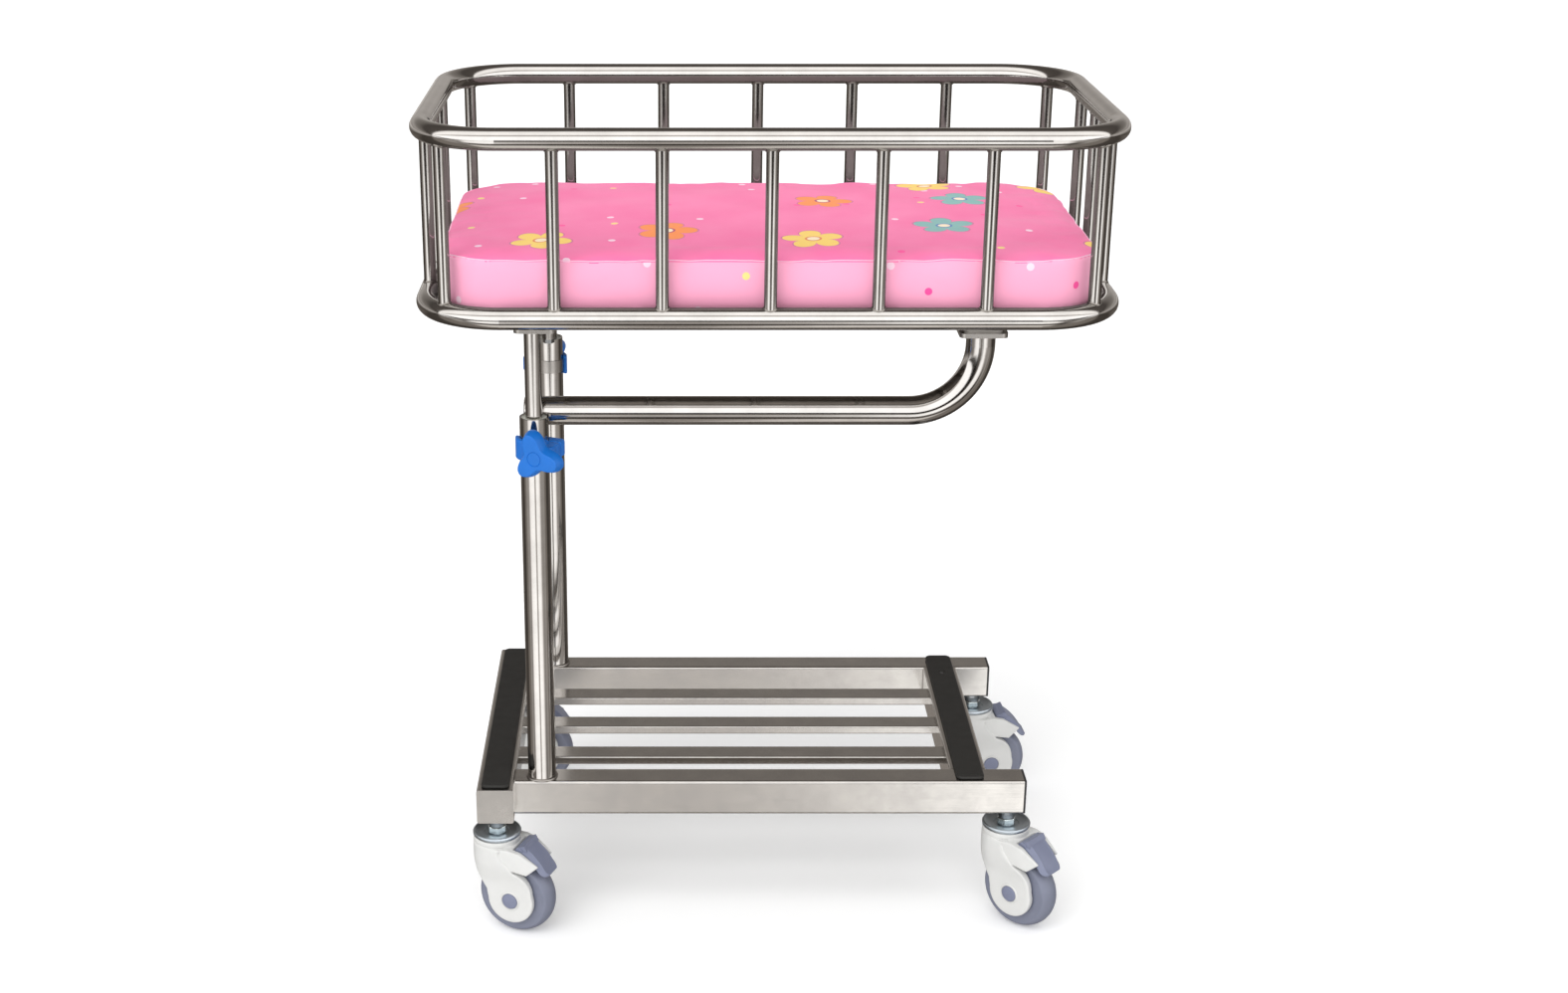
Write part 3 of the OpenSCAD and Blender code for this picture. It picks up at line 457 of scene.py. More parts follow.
def bar_bead(x, y, across, radius=0.0011, steps=24):
    """The two beads of one bar; across is the direction square to the rail there."""
    parts = []
    for rail_z, way in ((RAIL_Z[0], 1), (RAIL_Z[1], -1)):
        line = []
        for k in range(steps):
            a = 2 * math.pi * k / steps
            offset = Vector((math.cos(a), math.sin(a), 0)) * (BAR_R + 0.0003)
            away = offset.dot(across)
            drop = math.sqrt(RAIL_R ** 2 - away ** 2)
            line.append(Vector((x, y, rail_z + way * (drop + 0.0003))) + offset)
        parts.append(swept(line, radius, sides=6))
    return parts


beads = []
for side in (-1, 1):
    for i in range(-2, 3):
        beads += bar_bead(i * BAR_PITCH, side * HALF_Y, Vector((0, 1, 0)))
    for end in (-1, 1):
        beads += bar_bead(end * corner_x, side * corner_y, Vector((end, side, 0)).normalized())
for end in (-1, 1):
    for i in (-1, 0, 1):
        beads += bar_bead(end * HALF_X, i * END_PITCH, Vector((1, 0, 0)))
piece("bar_welds", *joined(beads), weld_steel, "carriage", "steel")
print("weld beads round the bars:", len(beads))

# %% Weld beads of the masts and the frame
MAST_X, MAST_Y, MAST_R = -0.300, 0.187, 0.019
BASE_TOP = 0.217
POST_R, FLANGE_Z = 0.011, 0.853
ARM_X, ARM_Y, ARM_FLANGE_Z = 0.277, -0.1485, 0.836


def ring(x, y, z, r, steps=48):
    return [(x + r * math.cos(2 * math.pi * k / steps), y + r * math.sin(2 * math.pi * k / steps), z)
            for k in range(steps)]


mast_welds = [swept(ring(MAST_X, side * MAST_Y, BASE_TOP + 0.0008, MAST_R + 0.0008), 0.0018)
              for side in (-1, 1)]
RAIL_X0, RAIL_IN, RAIL_OUT, RAIL_LOW = -0.337, 0.170, 0.204, 0.170
RIGHT_CROSS, CROSS_IN = (0.261, 0.311), 0.167
for side in (-1, 1):
    inner, outer = side * RAIL_IN, side * RAIL_OUT
    mast_welds.append(swept([(RAIL_X0, outer, RAIL_LOW), (RAIL_X0, outer, BASE_TOP - 0.003)], 0.0012,
                            closed=False, lead=Vector((0, 1, 0))))
    mast_welds.append(swept([(RAIL_X0, inner, BASE_TOP), (RAIL_X0, outer, BASE_TOP)], 0.0012, closed=False))
    for x in RIGHT_CROSS:
        ends = [(x, side * CROSS_IN, z) for z in (RAIL_LOW + 0.001, BASE_TOP - 0.004)]
        mast_welds.append(swept(ends, 0.0012, closed=False, lead=Vector((0, 1, 0))))
piece("base_welds", *joined(mast_welds), weld_steel, "base", "steel")
frame_welds = [swept(ring(MAST_X, side * MAST_Y, FLANGE_Z - 0.0006, POST_R + 0.0006), 0.0014)
               for side in (-1, 1)]
frame_welds.append(swept(ring(ARM_X, ARM_Y, ARM_FLANGE_Z - 0.0006, MAST_R + 0.0006), 0.0016))
piece("flange_welds", *joined(frame_welds), weld_steel, "carriage", "steel")
print("other weld beads:", len(mast_welds) + len(frame_welds))

# %% [markdown]
# ## Moulded shapes from distances
# A moulded piece has no sharp edge: its faces run into each other over a millimetre or two. Such
# a shape is easy to write as a distance: below zero inside, above zero outside. The larger of two
# distances is where both shapes are, the smaller is where either is, and blending the two where
# they are nearly equal rounds the edge. The surface at zero then becomes the mesh. These cells
# work in millimetres, and `moulding` turns the result into metres.

# %% Distances
MM = 0.001
SIMPLER = 0.02


def both(a, b, soft):
    """Where both shapes are, with their common edge rounded over about the soft distance."""
    return np.maximum(a, b) + np.maximum(soft - np.abs(a - b), 0) ** 2 / (4 * soft)


def either(a, b, soft):
    return -both(-a, -b, soft)


def without(a, b, soft):
    return both(a, -b, soft)


def outline_distance(corners, x, z):
    """Distance to a closed outline, below zero inside it."""
    nearest = np.full(x.shape, 1e6)
    inside = np.zeros(x.shape, bool)
    for (ax, az), (bx, bz) in zip(corners, corners[1:] + corners[:1]):
        ex, ez = bx - ax, bz - az
        t = np.clip(((x - ax) * ex + (z - az) * ez) / (ex * ex + ez * ez), 0, 1)
        nearest = np.minimum(nearest, np.hypot(x - ax - t * ex, z - az - t * ez))
        if ez:
            inside ^= ((az > z) != (bz > z)) & (x < ax + ex * (z - az) / ez)
    return np.where(inside, -nearest, nearest)


def box_distance(x, y, half_x, half_y, r):
    """Distance to a rectangle with corners of radius r."""
    dx, dy = np.abs(x) - half_x + r, np.abs(y) - half_y + r
    return np.hypot(np.maximum(dx, 0), np.maximum(dy, 0)) + np.minimum(np.maximum(dx, dy), 0) - r


def moulding(low, high, cell, distance):
    """Points in metres and faces of the surface where distance(x, y, z) is zero."""
    steps = [np.arange(a - 2 * cell, b + 3 * cell, cell) for a, b in zip(low, high)]
    values = distance(*np.meshgrid(*steps, indexing="ij", sparse=True)) / cell
    grid = openvdb.FloatGrid(background=3.0)
    grid.copyFromArray(np.clip(values, -3, 3).astype(np.float32))
    points, triangles, quads = grid.convertToPolygons(0.0, SIMPLER)
    corner = np.array([s[0] for s in steps])
    return (points * cell + corner) * MM, [tuple(f) for f in quads] + [tuple(f) for f in triangles]


def placed(matrix, points):
    return [matrix @ Vector(p) for p in points]


print("distance helpers ready")

# %% [markdown]
# ## Caster housings
# A housing is a round head, two fork cheeks that drop to the axle, and a wing for the brake pedal.
# The cheeks draw in by 6 mm on their way down, as a moulded fork's do, with a fine groove under
# the head's ring.
# The wing's sides lie 2 mm deeper than the cheeks, so a crease runs up from the notch between
# them and fades below the head. The head's ring is a little smaller than the body under it. Each
# caster is built once in its own frame, with its swivel on the Z axis and its trail along X, and
# then turned to where it stands.

# %% Caster housing
CASTER_PLACES = {"front_left": (-0.362, -0.211, -22), "front_right": (0.340, -0.187, -44),
                 "back_left": (-0.362, 0.211, 3), "back_right": (0.340, 0.187, 4)}
TRAIL, WHEEL_R, TYRE_HALF = 30, 55, 16
HEAD_R, HEAD_TOP, RING_R, RING_LOW = 33, 141.7, 32.6, 133.6
DROP_R, WELL_R, WELL_HALF = 33.5, 58, 18.5
CHEEK_DRAW_IN, DRAW_FROM, DRAW_OVER = 6.0, 113, 38
WING_FROM, WING_LONG = 34, 40
RING_GROOVE_R, RING_GROOVE_HALF, RING_GROOVE_TO = 31.6, 0.8, 22
SLOT_R, SLOT_LOW, SLOT_GAP = 71.5, 75, 0.7
HINGE_ROOM_R, AXLE_BORE_R = 8, 6.4
WING_DEEP, WING_TIP_HALF = 2.3, 23.4
HINGE_X, HINGE_Z = 42, 130
PEDAL_X, PEDAL_Z, PEDAL_HALF, PEDAL_R = 3, 62, 21, 87
PIN_R, PIN_LOW = 6.3, 119
CHEEK = [(-33, 134), (-33, 113), (-20, 85), (0, 60), (30, 56), (40, 96), (28, 108.5),
         (19, 119), (16, 127), (20, 134)]
WING = [(8, 112), (10, 133), (30, 134), (46, 130.5), (60, 121.5), (72.5, 113.5), (55.5, 98.5),
        (34, 103), (20, 100)]


def caster_place(name):
    x, y, turn = CASTER_PLACES[name]
    return Matrix.Translation((x, y, 0)) @ Matrix.Rotation(math.radians(turn), 4, "Z")


def housing_distance(x, y, z):
    side_y = np.abs(y)
    cheek = outline_distance(CHEEK, x + 0 * z, z + 0 * x)
    for drop_x, drop_z in ((TRAIL, WHEEL_R), (TRAIL - 2, WHEEL_R + 12)):
        cheek = either(cheek, np.hypot(x - drop_x, z - drop_z) - DROP_R, 1.0)
    low = np.clip((DRAW_FROM - z) / DRAW_OVER, 0, 1)
    half = HEAD_R - CHEEK_DRAW_IN * low ** 2 * (3 - 2 * low)
    plan = np.hypot(np.minimum(x, 0), y * HEAD_R / half) - HEAD_R
    body = both(both(cheek, plan, 2.6), -z, 1.0)
    taper = np.clip((x - WING_FROM) / WING_LONG, 0, 1)
    wing_half = HEAD_R - WING_DEEP - (HEAD_R - WING_DEEP - WING_TIP_HALF) * taper ** 1.3
    wing = both(outline_distance(WING, x + 0 * z, z + 0 * x), side_y - wing_half, 1.8)
    ring = both(np.hypot(x, y) - RING_R, np.maximum(z - HEAD_TOP, RING_LOW - 4 - z), 2.0)
    solid = either(either(body, wing, 0.8), ring, 0.8)
    groove = both(np.abs(z - RING_LOW) - RING_GROOVE_HALF, RING_GROOVE_R - np.hypot(x, y), 0.5) + 0 * solid
    solid = without(solid, np.where(x < RING_GROOVE_TO, groove, 9.0), 0.8)
    well = both(np.hypot(x - TRAIL, z - WHEEL_R) - WELL_R, side_y - WELL_HALF, 1.5)
    under_pedal = np.maximum(SLOT_R - np.hypot(x - PEDAL_X, z - PEDAL_Z),
                             np.maximum(HINGE_X - HINGE_ROOM_R - x, SLOT_LOW - z))
    beside_pedal = side_y - PEDAL_HALF - SLOT_GAP
    slot = both(under_pedal, beside_pedal, 1.0)
    hinge_room = np.hypot(x - HINGE_X, z - HINGE_Z) - HINGE_ROOM_R
    slot = np.minimum(slot, np.maximum(hinge_room, beside_pedal))
    bore = np.hypot(x - TRAIL, z - WHEEL_R) - AXLE_BORE_R
    pin = np.maximum(np.hypot(x, y) - PIN_R, PIN_LOW - z)
    return without(without(without(solid, well, 1.0), slot, 1.0), np.minimum(bore, pin), 0.6)


housing_points, housing_faces = moulding((-34, -34, 18), (77, 34, 143), 1.0, housing_distance)
for name in CASTERS:
    housing = piece(f"{name}_fork", placed(caster_place(name), housing_points), housing_faces, white_nylon,
                    f"{name}_caster", "white_plastic", sharp_from=60)
    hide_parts(f"{name}_housing")
print("housing faces:", len(housing_faces))

# %% [markdown]
# ## Tyres, hub caps and pedals
# The tyre is turned: a flat side, a shoulder where the mould halves meet it, and a round crown
# with two fine mould lines. The axle's caps are shallow domes inside a raised ring on the fork.
# The pedal is a curved plate with bevelled long edges, bent in at its top, with a lip at its foot.

# %% Turned caster pieces
def axle_place(name):
    return caster_place(name) @ Matrix.Translation((TRAIL * MM, 0, WHEEL_R * MM)) @ Matrix.Rotation(
        math.radians(-90), 4, "X")


def in_metres(profile):
    return [(r * MM, h * MM) for r, h in profile]


CROWN_R = 22
CORE_R = 30
shoulder = math.degrees(math.asin(TYRE_HALF / CROWN_R)) - 2
crown = []
for i in range(33):
    angle = math.radians(shoulder * (i / 16 - 1))
    line = 0.3 if i in (14, 18) else 0
    crown.append((WHEEL_R - CROWN_R + (CROWN_R - line) * math.cos(angle), CROWN_R * math.sin(angle)))
flat_side = [(CORE_R, 14.8), (CORE_R + 0.8, 15.8), (38, 15.9), (42, 15.6), (45.5, 15.9), (47.4, 16)]
tyre_profile = [(r, -h) for r, h in flat_side] + crown + [(r, h) for r, h in reversed(flat_side)]
tyre_profile.append(tyre_profile[0])
CAP_R, FACE = 11.2, HEAD_R - CHEEK_DRAW_IN
cap = [(6, FACE), (CAP_R, FACE), (CAP_R, FACE + 1), (10.7, FACE + 1.7), (9.4, FACE + 2.1), (0, FACE + 2.3)]
axle_profile = [(r, -h) for r, h in reversed(cap)] + cap
RIM = [(r, FACE + h) for r, h in ((11.5, -0.6), (11.6, 0.9), (12.1, 1.5), (12.9, 1.5), (13.8, 0.8),
                                  (14.5, -0.6), (11.5, -0.6))]
for name in CASTERS:
    place = axle_place(name)
    tyre = piece(f"{name}_tread", *turned(in_metres(tyre_profile), 96, place), tread_rubber, f"{name}_wheel",
                 "tread", sharp_from=50)
    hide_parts(f"{name}_tyre")
    axle = piece(f"{name}_hub_cap", *turned(in_metres(axle_profile), 64, place), grey_plastic,
                 f"{name}_wheel", "grey_plastic")
    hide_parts(f"{name}_axle")
    rims = [turned(in_metres([(r, way * h) for r, h in RIM]), 64, place) for way in (-1, 1)]
    piece(f"{name}_hub_ring", *joined(rims), white_nylon, f"{name}_caster", "white_plastic")
print("tyre profile points:", len(tyre_profile))


# %% Pedals
def lofted(rings):
    """A closed shell through rings of points, each with the same count."""
    count = len(rings[0])
    vertices = [Vector(p) for ring_points in rings for p in ring_points]
    faces = ring_faces(len(rings), count)
    faces.append(tuple(range(count)))
    faces.append(tuple((len(rings) - 1) * count + i for i in range(count)))
    return vertices, faces


PEDAL_THICK = 7.5
PEDAL_FROM, PEDAL_TO = 24, 57
BEND_FROM, BEND_DROP = 54, 0.3
LIP_FROM, LIP_OUT = 31, 3.0
FOOT_R, TOP_R = 9, 3
FOOT_THIN, FOOT_OVER = 2.2, 9
ARC_MM = math.radians(1) * PEDAL_R
# Half of the plate's section: how far out of its middle, and how far below its outer face
PEDAL_SECTION = [(0, 0), (8, 0.15), (12.8, 0.35), (13.8, -0.1), (14.7, 0.0), (15.5, 0.7), (20.0, 4.0),
                 (20.8, 4.7), (21, 5.4), (21, 6.7), (20.3, 7.5), (8, 7.5)]


def rounded_end(distance, r):
    """How far a round corner of radius r has drawn an edge in, this far from the end."""
    return r - math.sqrt(max(r * r - max(r - distance, 0) ** 2, 0))


def pedal_ring(angle, squeeze):
    foot, top = (angle - PEDAL_FROM) * ARC_MM, (PEDAL_TO - angle) * ARC_MM
    narrower = rounded_end(foot + 0.4, FOOT_R) + rounded_end(top + 0.4, TOP_R)
    lip = LIP_OUT * max((LIP_FROM - angle) / (LIP_FROM - PEDAL_FROM), 0) ** 2
    bend = BEND_DROP * max(angle - BEND_FROM, 0)
    section = PEDAL_SECTION + [(0, PEDAL_THICK)] + [(-y, n) for y, n in reversed(PEDAL_SECTION[1:])]
    thin = 1 - FOOT_THIN / PEDAL_THICK * min(max((PEDAL_FROM + FOOT_OVER - angle) / FOOT_OVER, 0), 1)
    a = math.radians(angle)
    ring_points = []
    for y, n in section:
        depth = (PEDAL_THICK / 2 + (n - PEDAL_THICK / 2) * squeeze) * thin
        r = PEDAL_R - depth + lip - bend
        width = y * (PEDAL_HALF - narrower) / PEDAL_HALF
        ring_points.append(Vector((PEDAL_X + r * math.cos(a), width, PEDAL_Z + r * math.sin(a))) * MM)
    return ring_points


angles = [(PEDAL_FROM, 0.45), (PEDAL_FROM + 0.35, 0.75), (PEDAL_FROM + 0.9, 0.93)]
angles += [(PEDAL_FROM + 1.5 + i * 1.25, 1.0) for i in range(22)]
angles += [(BEND_FROM - 0.2, 1.0), (BEND_FROM + 0.2, 1.0), (PEDAL_TO - 1.6, 1.0), (PEDAL_TO - 0.6, 0.9),
           (PEDAL_TO, 0.6)]
pedal_plate = lofted([pedal_ring(angle, squeeze) for angle, squeeze in sorted(angles)])
hinge_place = Matrix.Translation((HINGE_X * MM, 0, HINGE_Z * MM)) @ Matrix.Rotation(math.radians(-90), 4, "X")
HINGE_TUBE = [(0, -20.5), (5.4, -20.5), (6, -20), (6, 20), (5.4, 20.5), (0, 20.5)]
hinge_tube = turned(in_metres(HINGE_TUBE), 32, hinge_place)
NECK, NECK_HALF, NECK_TURN = [(-5.5, 0), (5.5, 0), (4.5, 11), (-4.5, 11)], 19, 62
neck_place = hinge_place @ Matrix.Rotation(math.radians(NECK_TURN), 4, "Z")
neck = lofted([[neck_place @ (Vector((x, -y, h)) * MM) for x, y in NECK] for h in (-NECK_HALF, NECK_HALF)])
for name in CASTERS:
    points, faces = joined([pedal_plate, hinge_tube, neck])
    pedal = piece(f"{name}_brake_plate", placed(caster_place(name), points), faces, grey_plastic,
                  f"{name}_pedal", "grey_plastic", sharp_from=24)
    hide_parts(f"{name}_pedal")
print("pedal rings:", len(angles))

# %% [markdown]
# ## Caster stems
# A pressed and plated dish covers the swivel's balls. Its rolled rim is bright, and its cone
# drops to a bevelled nut, with a plain collar up to the tube.

# %% Caster stems
DISH = [(0, 142), (31.0, 142), (32.3, 142.4), (33, 143.8), (33, 146.0), (32.2, 147.4), (30.8, 148.0),
        (29.4, 147.6), (28.4, 146.7), (26, 145.6), (21, 144.5), (17.8, 144.2), (17.2, 143.2), (13, 143.0)]
COLLAR = [(9.4, 143), (9.4, 154), (11.2, 154.6), (11.6, 155.4), (11.6, 166.9), (0, 166.9)]
STUD = [(0, 120), (5.2, 120), (6, 121), (6, 142)]
TUBE_STUD = [(5, 166), (5, 180.4), (4.4, 181), (0, 181)]
NUT_R, NUT_LOW, NUT_TOP = 13, 144.2, 154


def hexagon(r, z, cut=3.5):
    """A hexagon with its corners slightly cut, as a ring of twelve points."""
    turns = [math.radians(60 * k + way * cut) for k in range(6) for way in (-1, 1)]
    return [Vector((r * math.cos(a), r * math.sin(a), z)) * MM for a in turns]


nut_points, nut_faces = lofted([
    hexagon(NUT_R - 1, NUT_LOW), hexagon(NUT_R, NUT_LOW + 0.8), hexagon(NUT_R, NUT_TOP - 1.2),
    hexagon(NUT_R - 0.8, NUT_TOP - 0.3), hexagon(NUT_R - 2.2, NUT_TOP)])
dishes, nuts, collars = [], [], []
for name in CASTERS:
    place = caster_place(name)
    dishes.append(turned(in_metres(DISH), 96, place))
    nuts.append((placed(place, nut_points), nut_faces))
    for profile in (COLLAR, STUD, TUBE_STUD):
        collars.append(turned(in_metres(profile), 48, place))
dish = piece("caster_dishes", *joined(dishes), dish_plate, "base", "plated", sharp_from=35)
nut = piece("caster_nuts", *joined(nuts), nut_plate, "base", "plated", sharp_from=25)
collar = piece("caster_collars", *joined(collars), screw_steel, "base", "plated", sharp_from=35)
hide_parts("caster_stems")
print("stem pieces:", [o.name for o in (dish, nut, collar)])

# %% [markdown]
# ## Clamps and knobs
# A clamp is a moulded block on the knob's side of the mast, slit past its screw, and a steel strap
# that closes it round the mast's other side. Its knob has three lobes with a rounded rim round a flat
# face, and a snap-in cap in the middle that shows as a fine ring.

# %% Clamp collars
CLAMP_Z, CLAMP_HALF, CLAMP_R, CLAMP_BORE = 693, 14, 26, 19.1
SCREW_X, SCREW_BORE, EAR_X, EAR_BACK, EAR_HALF = 24, 4.1, 38, 17, 10.5
CLAMP_NODES = {"front_clamp": (-187, -25), "back_clamp": (187, 155)}
MAST_AT = -300
BLOCK_FROM = 5
STRAP_R, STRAP_T, STRAP_HALF = 19.15, 1.3, 9.5
STRAP_FROM, STRAP_ROUND, STRAP_STEPS = 30, 170, 48


def clamp_place(y, turn):
    at = Matrix.Translation((MAST_AT * MM, y * MM, CLAMP_Z * MM))
    return at @ Matrix.Rotation(math.radians(turn), 4, "Z")


def clamp_distance(x, y, z):
    ears = box_distance(x - EAR_X / 2, y - (EAR_BACK - CLAMP_R) / 2, EAR_X / 2, (EAR_BACK + CLAMP_R) / 2, 7)
    ring_part = both(np.hypot(x, y) - CLAMP_R + 1, np.abs(z) - CLAMP_HALF, 2.0)
    ring_part = both(ring_part, y + BLOCK_FROM, 2.0)
    outside = either(ring_part, both(ears, np.abs(z) - EAR_HALF, 3.0), 1.5)
    bore = np.hypot(x, y) - CLAMP_BORE
    slit = np.maximum(np.abs(y) - 1, -x)
    screw = np.hypot(x - SCREW_X, z) - SCREW_BORE
    nut_hole = np.maximum(np.hypot(x - SCREW_X, z) - 8.0, EAR_BACK - 6.4 - y)
    return without(outside, np.minimum(np.minimum(bore, slit), np.minimum(screw, nut_hole)), 0.8)


clamp_points, clamp_faces = moulding((-27, -27, -15), (39, 18, 15), 0.9, clamp_distance)
for node, (y, turn) in CLAMP_NODES.items():
    collar_piece = piece(f"{node}_collar", placed(clamp_place(y, turn), clamp_points), clamp_faces,
                         blue_nylon, "base", "clamp_blue", sharp_from=60)
    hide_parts(node)
STRAP = [(0, -STRAP_HALF), (STRAP_T, -STRAP_HALF + 0.3), (STRAP_T, STRAP_HALF - 0.3), (0, STRAP_HALF)]
strap_rings = []
for i in range(STRAP_STEPS + 1):
    a = math.radians(STRAP_FROM + STRAP_ROUND * i / STRAP_STEPS)
    strap_rings.append([Vector(((STRAP_R + r) * math.cos(a), (STRAP_R + r) * math.sin(a), h)) * MM
                        for r, h in STRAP])
strap_points, strap_faces = lofted(strap_rings)
for node, (y, turn) in CLAMP_NODES.items():
    piece(f"{node}_strap", placed(clamp_place(y, turn), strap_points), strap_faces, plate_steel,
          "base", "screw_steel")
print("clamp faces:", len(clamp_faces))

# %% Knobs
KNOB_R, KNOB_HOLLOW, KNOB_T, KNOB_BACK = 36, 17, 20, 27
LOBE_T = 17
CAP_RING = 9.4
KNOB_RIM, KNOB_SLOPE = 1.8, 3.4
KNOB_NECK = [(0, -0.7), (12, -0.7), (13.6, 0.2), (14, 1.5), (14, 7.5), (0, 7.5)]


def knob_outline(first_lobe, steps=120):
    points = []
    for k in range(steps):
        a = 360 * k / steps
        r = KNOB_R - KNOB_HOLLOW / 2 * (1 - math.cos(math.radians(3 * (a - first_lobe))))
        points.append((r * math.cos(math.radians(a)), r * math.sin(math.radians(a))))
    return points


def inset(outline, distance, height):
    """The outline moved in square to itself, at a height."""
    result = []
    for i, (x, y) in enumerate(outline):
        (ax, ay), (bx, by) = outline[i - 1], outline[(i + 1) % len(outline)]
        length = math.hypot(bx - ax, by - ay)
        in_x, in_y = (ay - by) / length, (bx - ax) / length
        result.append(Vector((x + distance * in_x, y + distance * in_y, height)) * MM)
    return result


def round_ring(outline, r, height):
    return [Vector((x, y, 0)).normalized() * r * MM + Vector((0, 0, height * MM)) for x, y in outline]


def knob_shell(first_lobe):
    outline = knob_outline(first_lobe)
    back = KNOB_T - LOBE_T
    rings = [inset(outline, 2.5, back), inset(outline, 0.9, back + 0.4), inset(outline, 0.2, back + 1.5)]
    side = LOBE_T - 3 - KNOB_RIM
    for i in range(6):
        rings.append(inset(outline, KNOB_SLOPE * (i / 5) ** 1.6, back + 3 + side * i / 5))
    for i in range(1, 6):
        a = math.radians(20 + 70 * i / 5)
        rings.append(inset(outline, KNOB_SLOPE + KNOB_RIM * (1 - math.cos(a)),
                           KNOB_T - KNOB_RIM * (1 - math.sin(a))))
    rings.append(inset(outline, KNOB_SLOPE + KNOB_RIM + 0.4, KNOB_T + 0.02))
    for out, height in ((0.5, 0.1), (0.15, -0.5), (-0.15, -0.5), (-0.6, 0.2), (-4, 0.5)):
        rings.append(round_ring(outline, CAP_RING + out, KNOB_T + height))
    return lofted(rings)


for node, (y, turn), first_lobe in (("front_knob", CLAMP_NODES["front_clamp"], 108),
                                    ("back_knob", CLAMP_NODES["back_clamp"], 18)):
    place = clamp_place(y, turn) @ Matrix.Translation((SCREW_X * MM, -KNOB_BACK * MM, 0)) @ Matrix.Rotation(
        math.radians(90), 4, "X")
    shells = (knob_shell(first_lobe), turned(in_metres(KNOB_NECK), 40))
    parts = [(placed(place, points), faces) for points, faces in shells]
    knob = piece(f"{node}_grip", *joined(parts), blue_nylon, node, "clamp_blue", sharp_from=32)
    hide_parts(node)
print("knobs ready")

# %% [markdown]
# ## Rubber pads
# Each pad is a moulded strip with round corners and a shallow groove near its front end. The right
# one is held by a sunk screw near its back end.

# %% Rubber pads
PAD_HALF_W, PAD_T, PAD_Z, PAD_CORNER = 19, 5, 217, 8
GROOVE_IN, GROOVE_HALF, GROOVE_DEEP = 6.5, 0.7, 1.0
PADS = {"left_pad": (-362, 228, None), "right_pad": (286, 202, 140)}


def pad_mesh(half_length, screw_y):
    def distance(x, y, z):
        flat = box_distance(x, y, PAD_HALF_W, half_length, PAD_CORNER)
        slab = both(flat, np.abs(z - PAD_T / 2) - PAD_T / 2, 2.2)
        groove = np.maximum(np.abs(y + half_length - GROOVE_IN) - GROOVE_HALF, PAD_T - GROOVE_DEEP - z)
        slab = without(slab, groove, 0.8)
        return slab if screw_y is None else without(slab, np.hypot(x, y - screw_y) - 3.2, 0.8)
    return moulding((-PAD_HALF_W, -half_length, 0), (PAD_HALF_W, half_length, PAD_T), 1.0, distance)


for node, (x, half_length, screw_y) in PADS.items():
    points, faces = pad_mesh(half_length, screw_y)
    lift = Matrix.Translation((x * MM, 0, PAD_Z * MM))
    pad = piece(f"{node}_strip", placed(lift, points), faces, black_rubber, "base", "pad_rubber",
                sharp_from=60)
    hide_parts(node)
    print(node, "faces:", len(faces))

# %% [markdown]
# ## Mattress cover
# The cover is printed cotton, sewn as a box: a top sheet and a side band meet in a fine seam.
# Its print is a loose scatter of round flowers and dots. The print is drawn in the cloth's own
# coordinates, so that it runs round the corners. The weave's threads are 0.4 mm apart, which is
# drawn at 1 mm to show.

# %% Printed cotton
PINK = "#f971a8"
SECOND_PINK = "#fd82b3"
# Painted light: the side band is a paler pink than the top sheet, standing in for light falling on the
# cover's sides from the front
PAINTED_LIGHT_BAND_PINK = "#ffabcb"
# Painted reflection: the dull grey-pink that the steel shows in place of the cover's print
PAINTED_REFLECTION_PINK = "#8b7b7d"
MOTIF_SPACING = 0.175
DOT_SPACING = 0.060
PETAL_FROM, PETAL_LONG, PETAL_LINE = 0.020, 0.022, 0.0022
EYE_R, PIP_R, DOT_R = 0.011, 0.008, 0.0048
BAND_BELOW = -0.2297
THREAD = 0.001

printed_cotton, cotton_tree, cotton_shader = new_material(
    "printed cotton", PINK, 0.0, 0.72, IOR=1.47, Sheen_Weight=0.15, Sheen_Roughness=0.5)
cloth_uv = add(cotton_tree, "ShaderNodeUVMap", uv_map="cloth").outputs[0]


def scatter(spacing, randomness):
    """Cells of the scatter: a place measured from the nearest cell's middle, and its random colour."""
    cells = add(cotton_tree, "ShaderNodeTexVoronoi",
                {"Vector": cloth_uv, "Scale": 1 / spacing, "Randomness": randomness}, voronoi_dimensions="2D")
    local = add(cotton_tree, "ShaderNodeVectorMath", {0: cloth_uv, 1: cells.outputs["Position"]},
                operation="SUBTRACT").outputs[0]
    parts_of_local = add(cotton_tree, "ShaderNodeSeparateXYZ", {"Vector": local}).outputs
    chance = add(cotton_tree, "ShaderNodeSeparateColor", {"Color": cells.outputs["Color"]}).outputs
    distance = add(cotton_tree, "ShaderNodeVectorMath", {0: local}, operation="LENGTH").outputs["Value"]
    return parts_of_local, chance, distance


def number(operation, *values):
    return add(cotton_tree, "ShaderNodeMath", dict(enumerate(values)), operation=operation).outputs[0]


def printed_over(base, colour, mask):
    return add(cotton_tree, "ShaderNodeMix", {0: mask, 6: base, 7: colour}, data_type="RGBA").outputs[2]


flower_at, flower_chance, flower_r = scatter(MOTIF_SPACING, 0.55)
flower_angle = number("ARCTAN2", flower_at["Y"], flower_at["X"])
flower_turn = number("MULTIPLY", flower_chance["Blue"], 6.28)
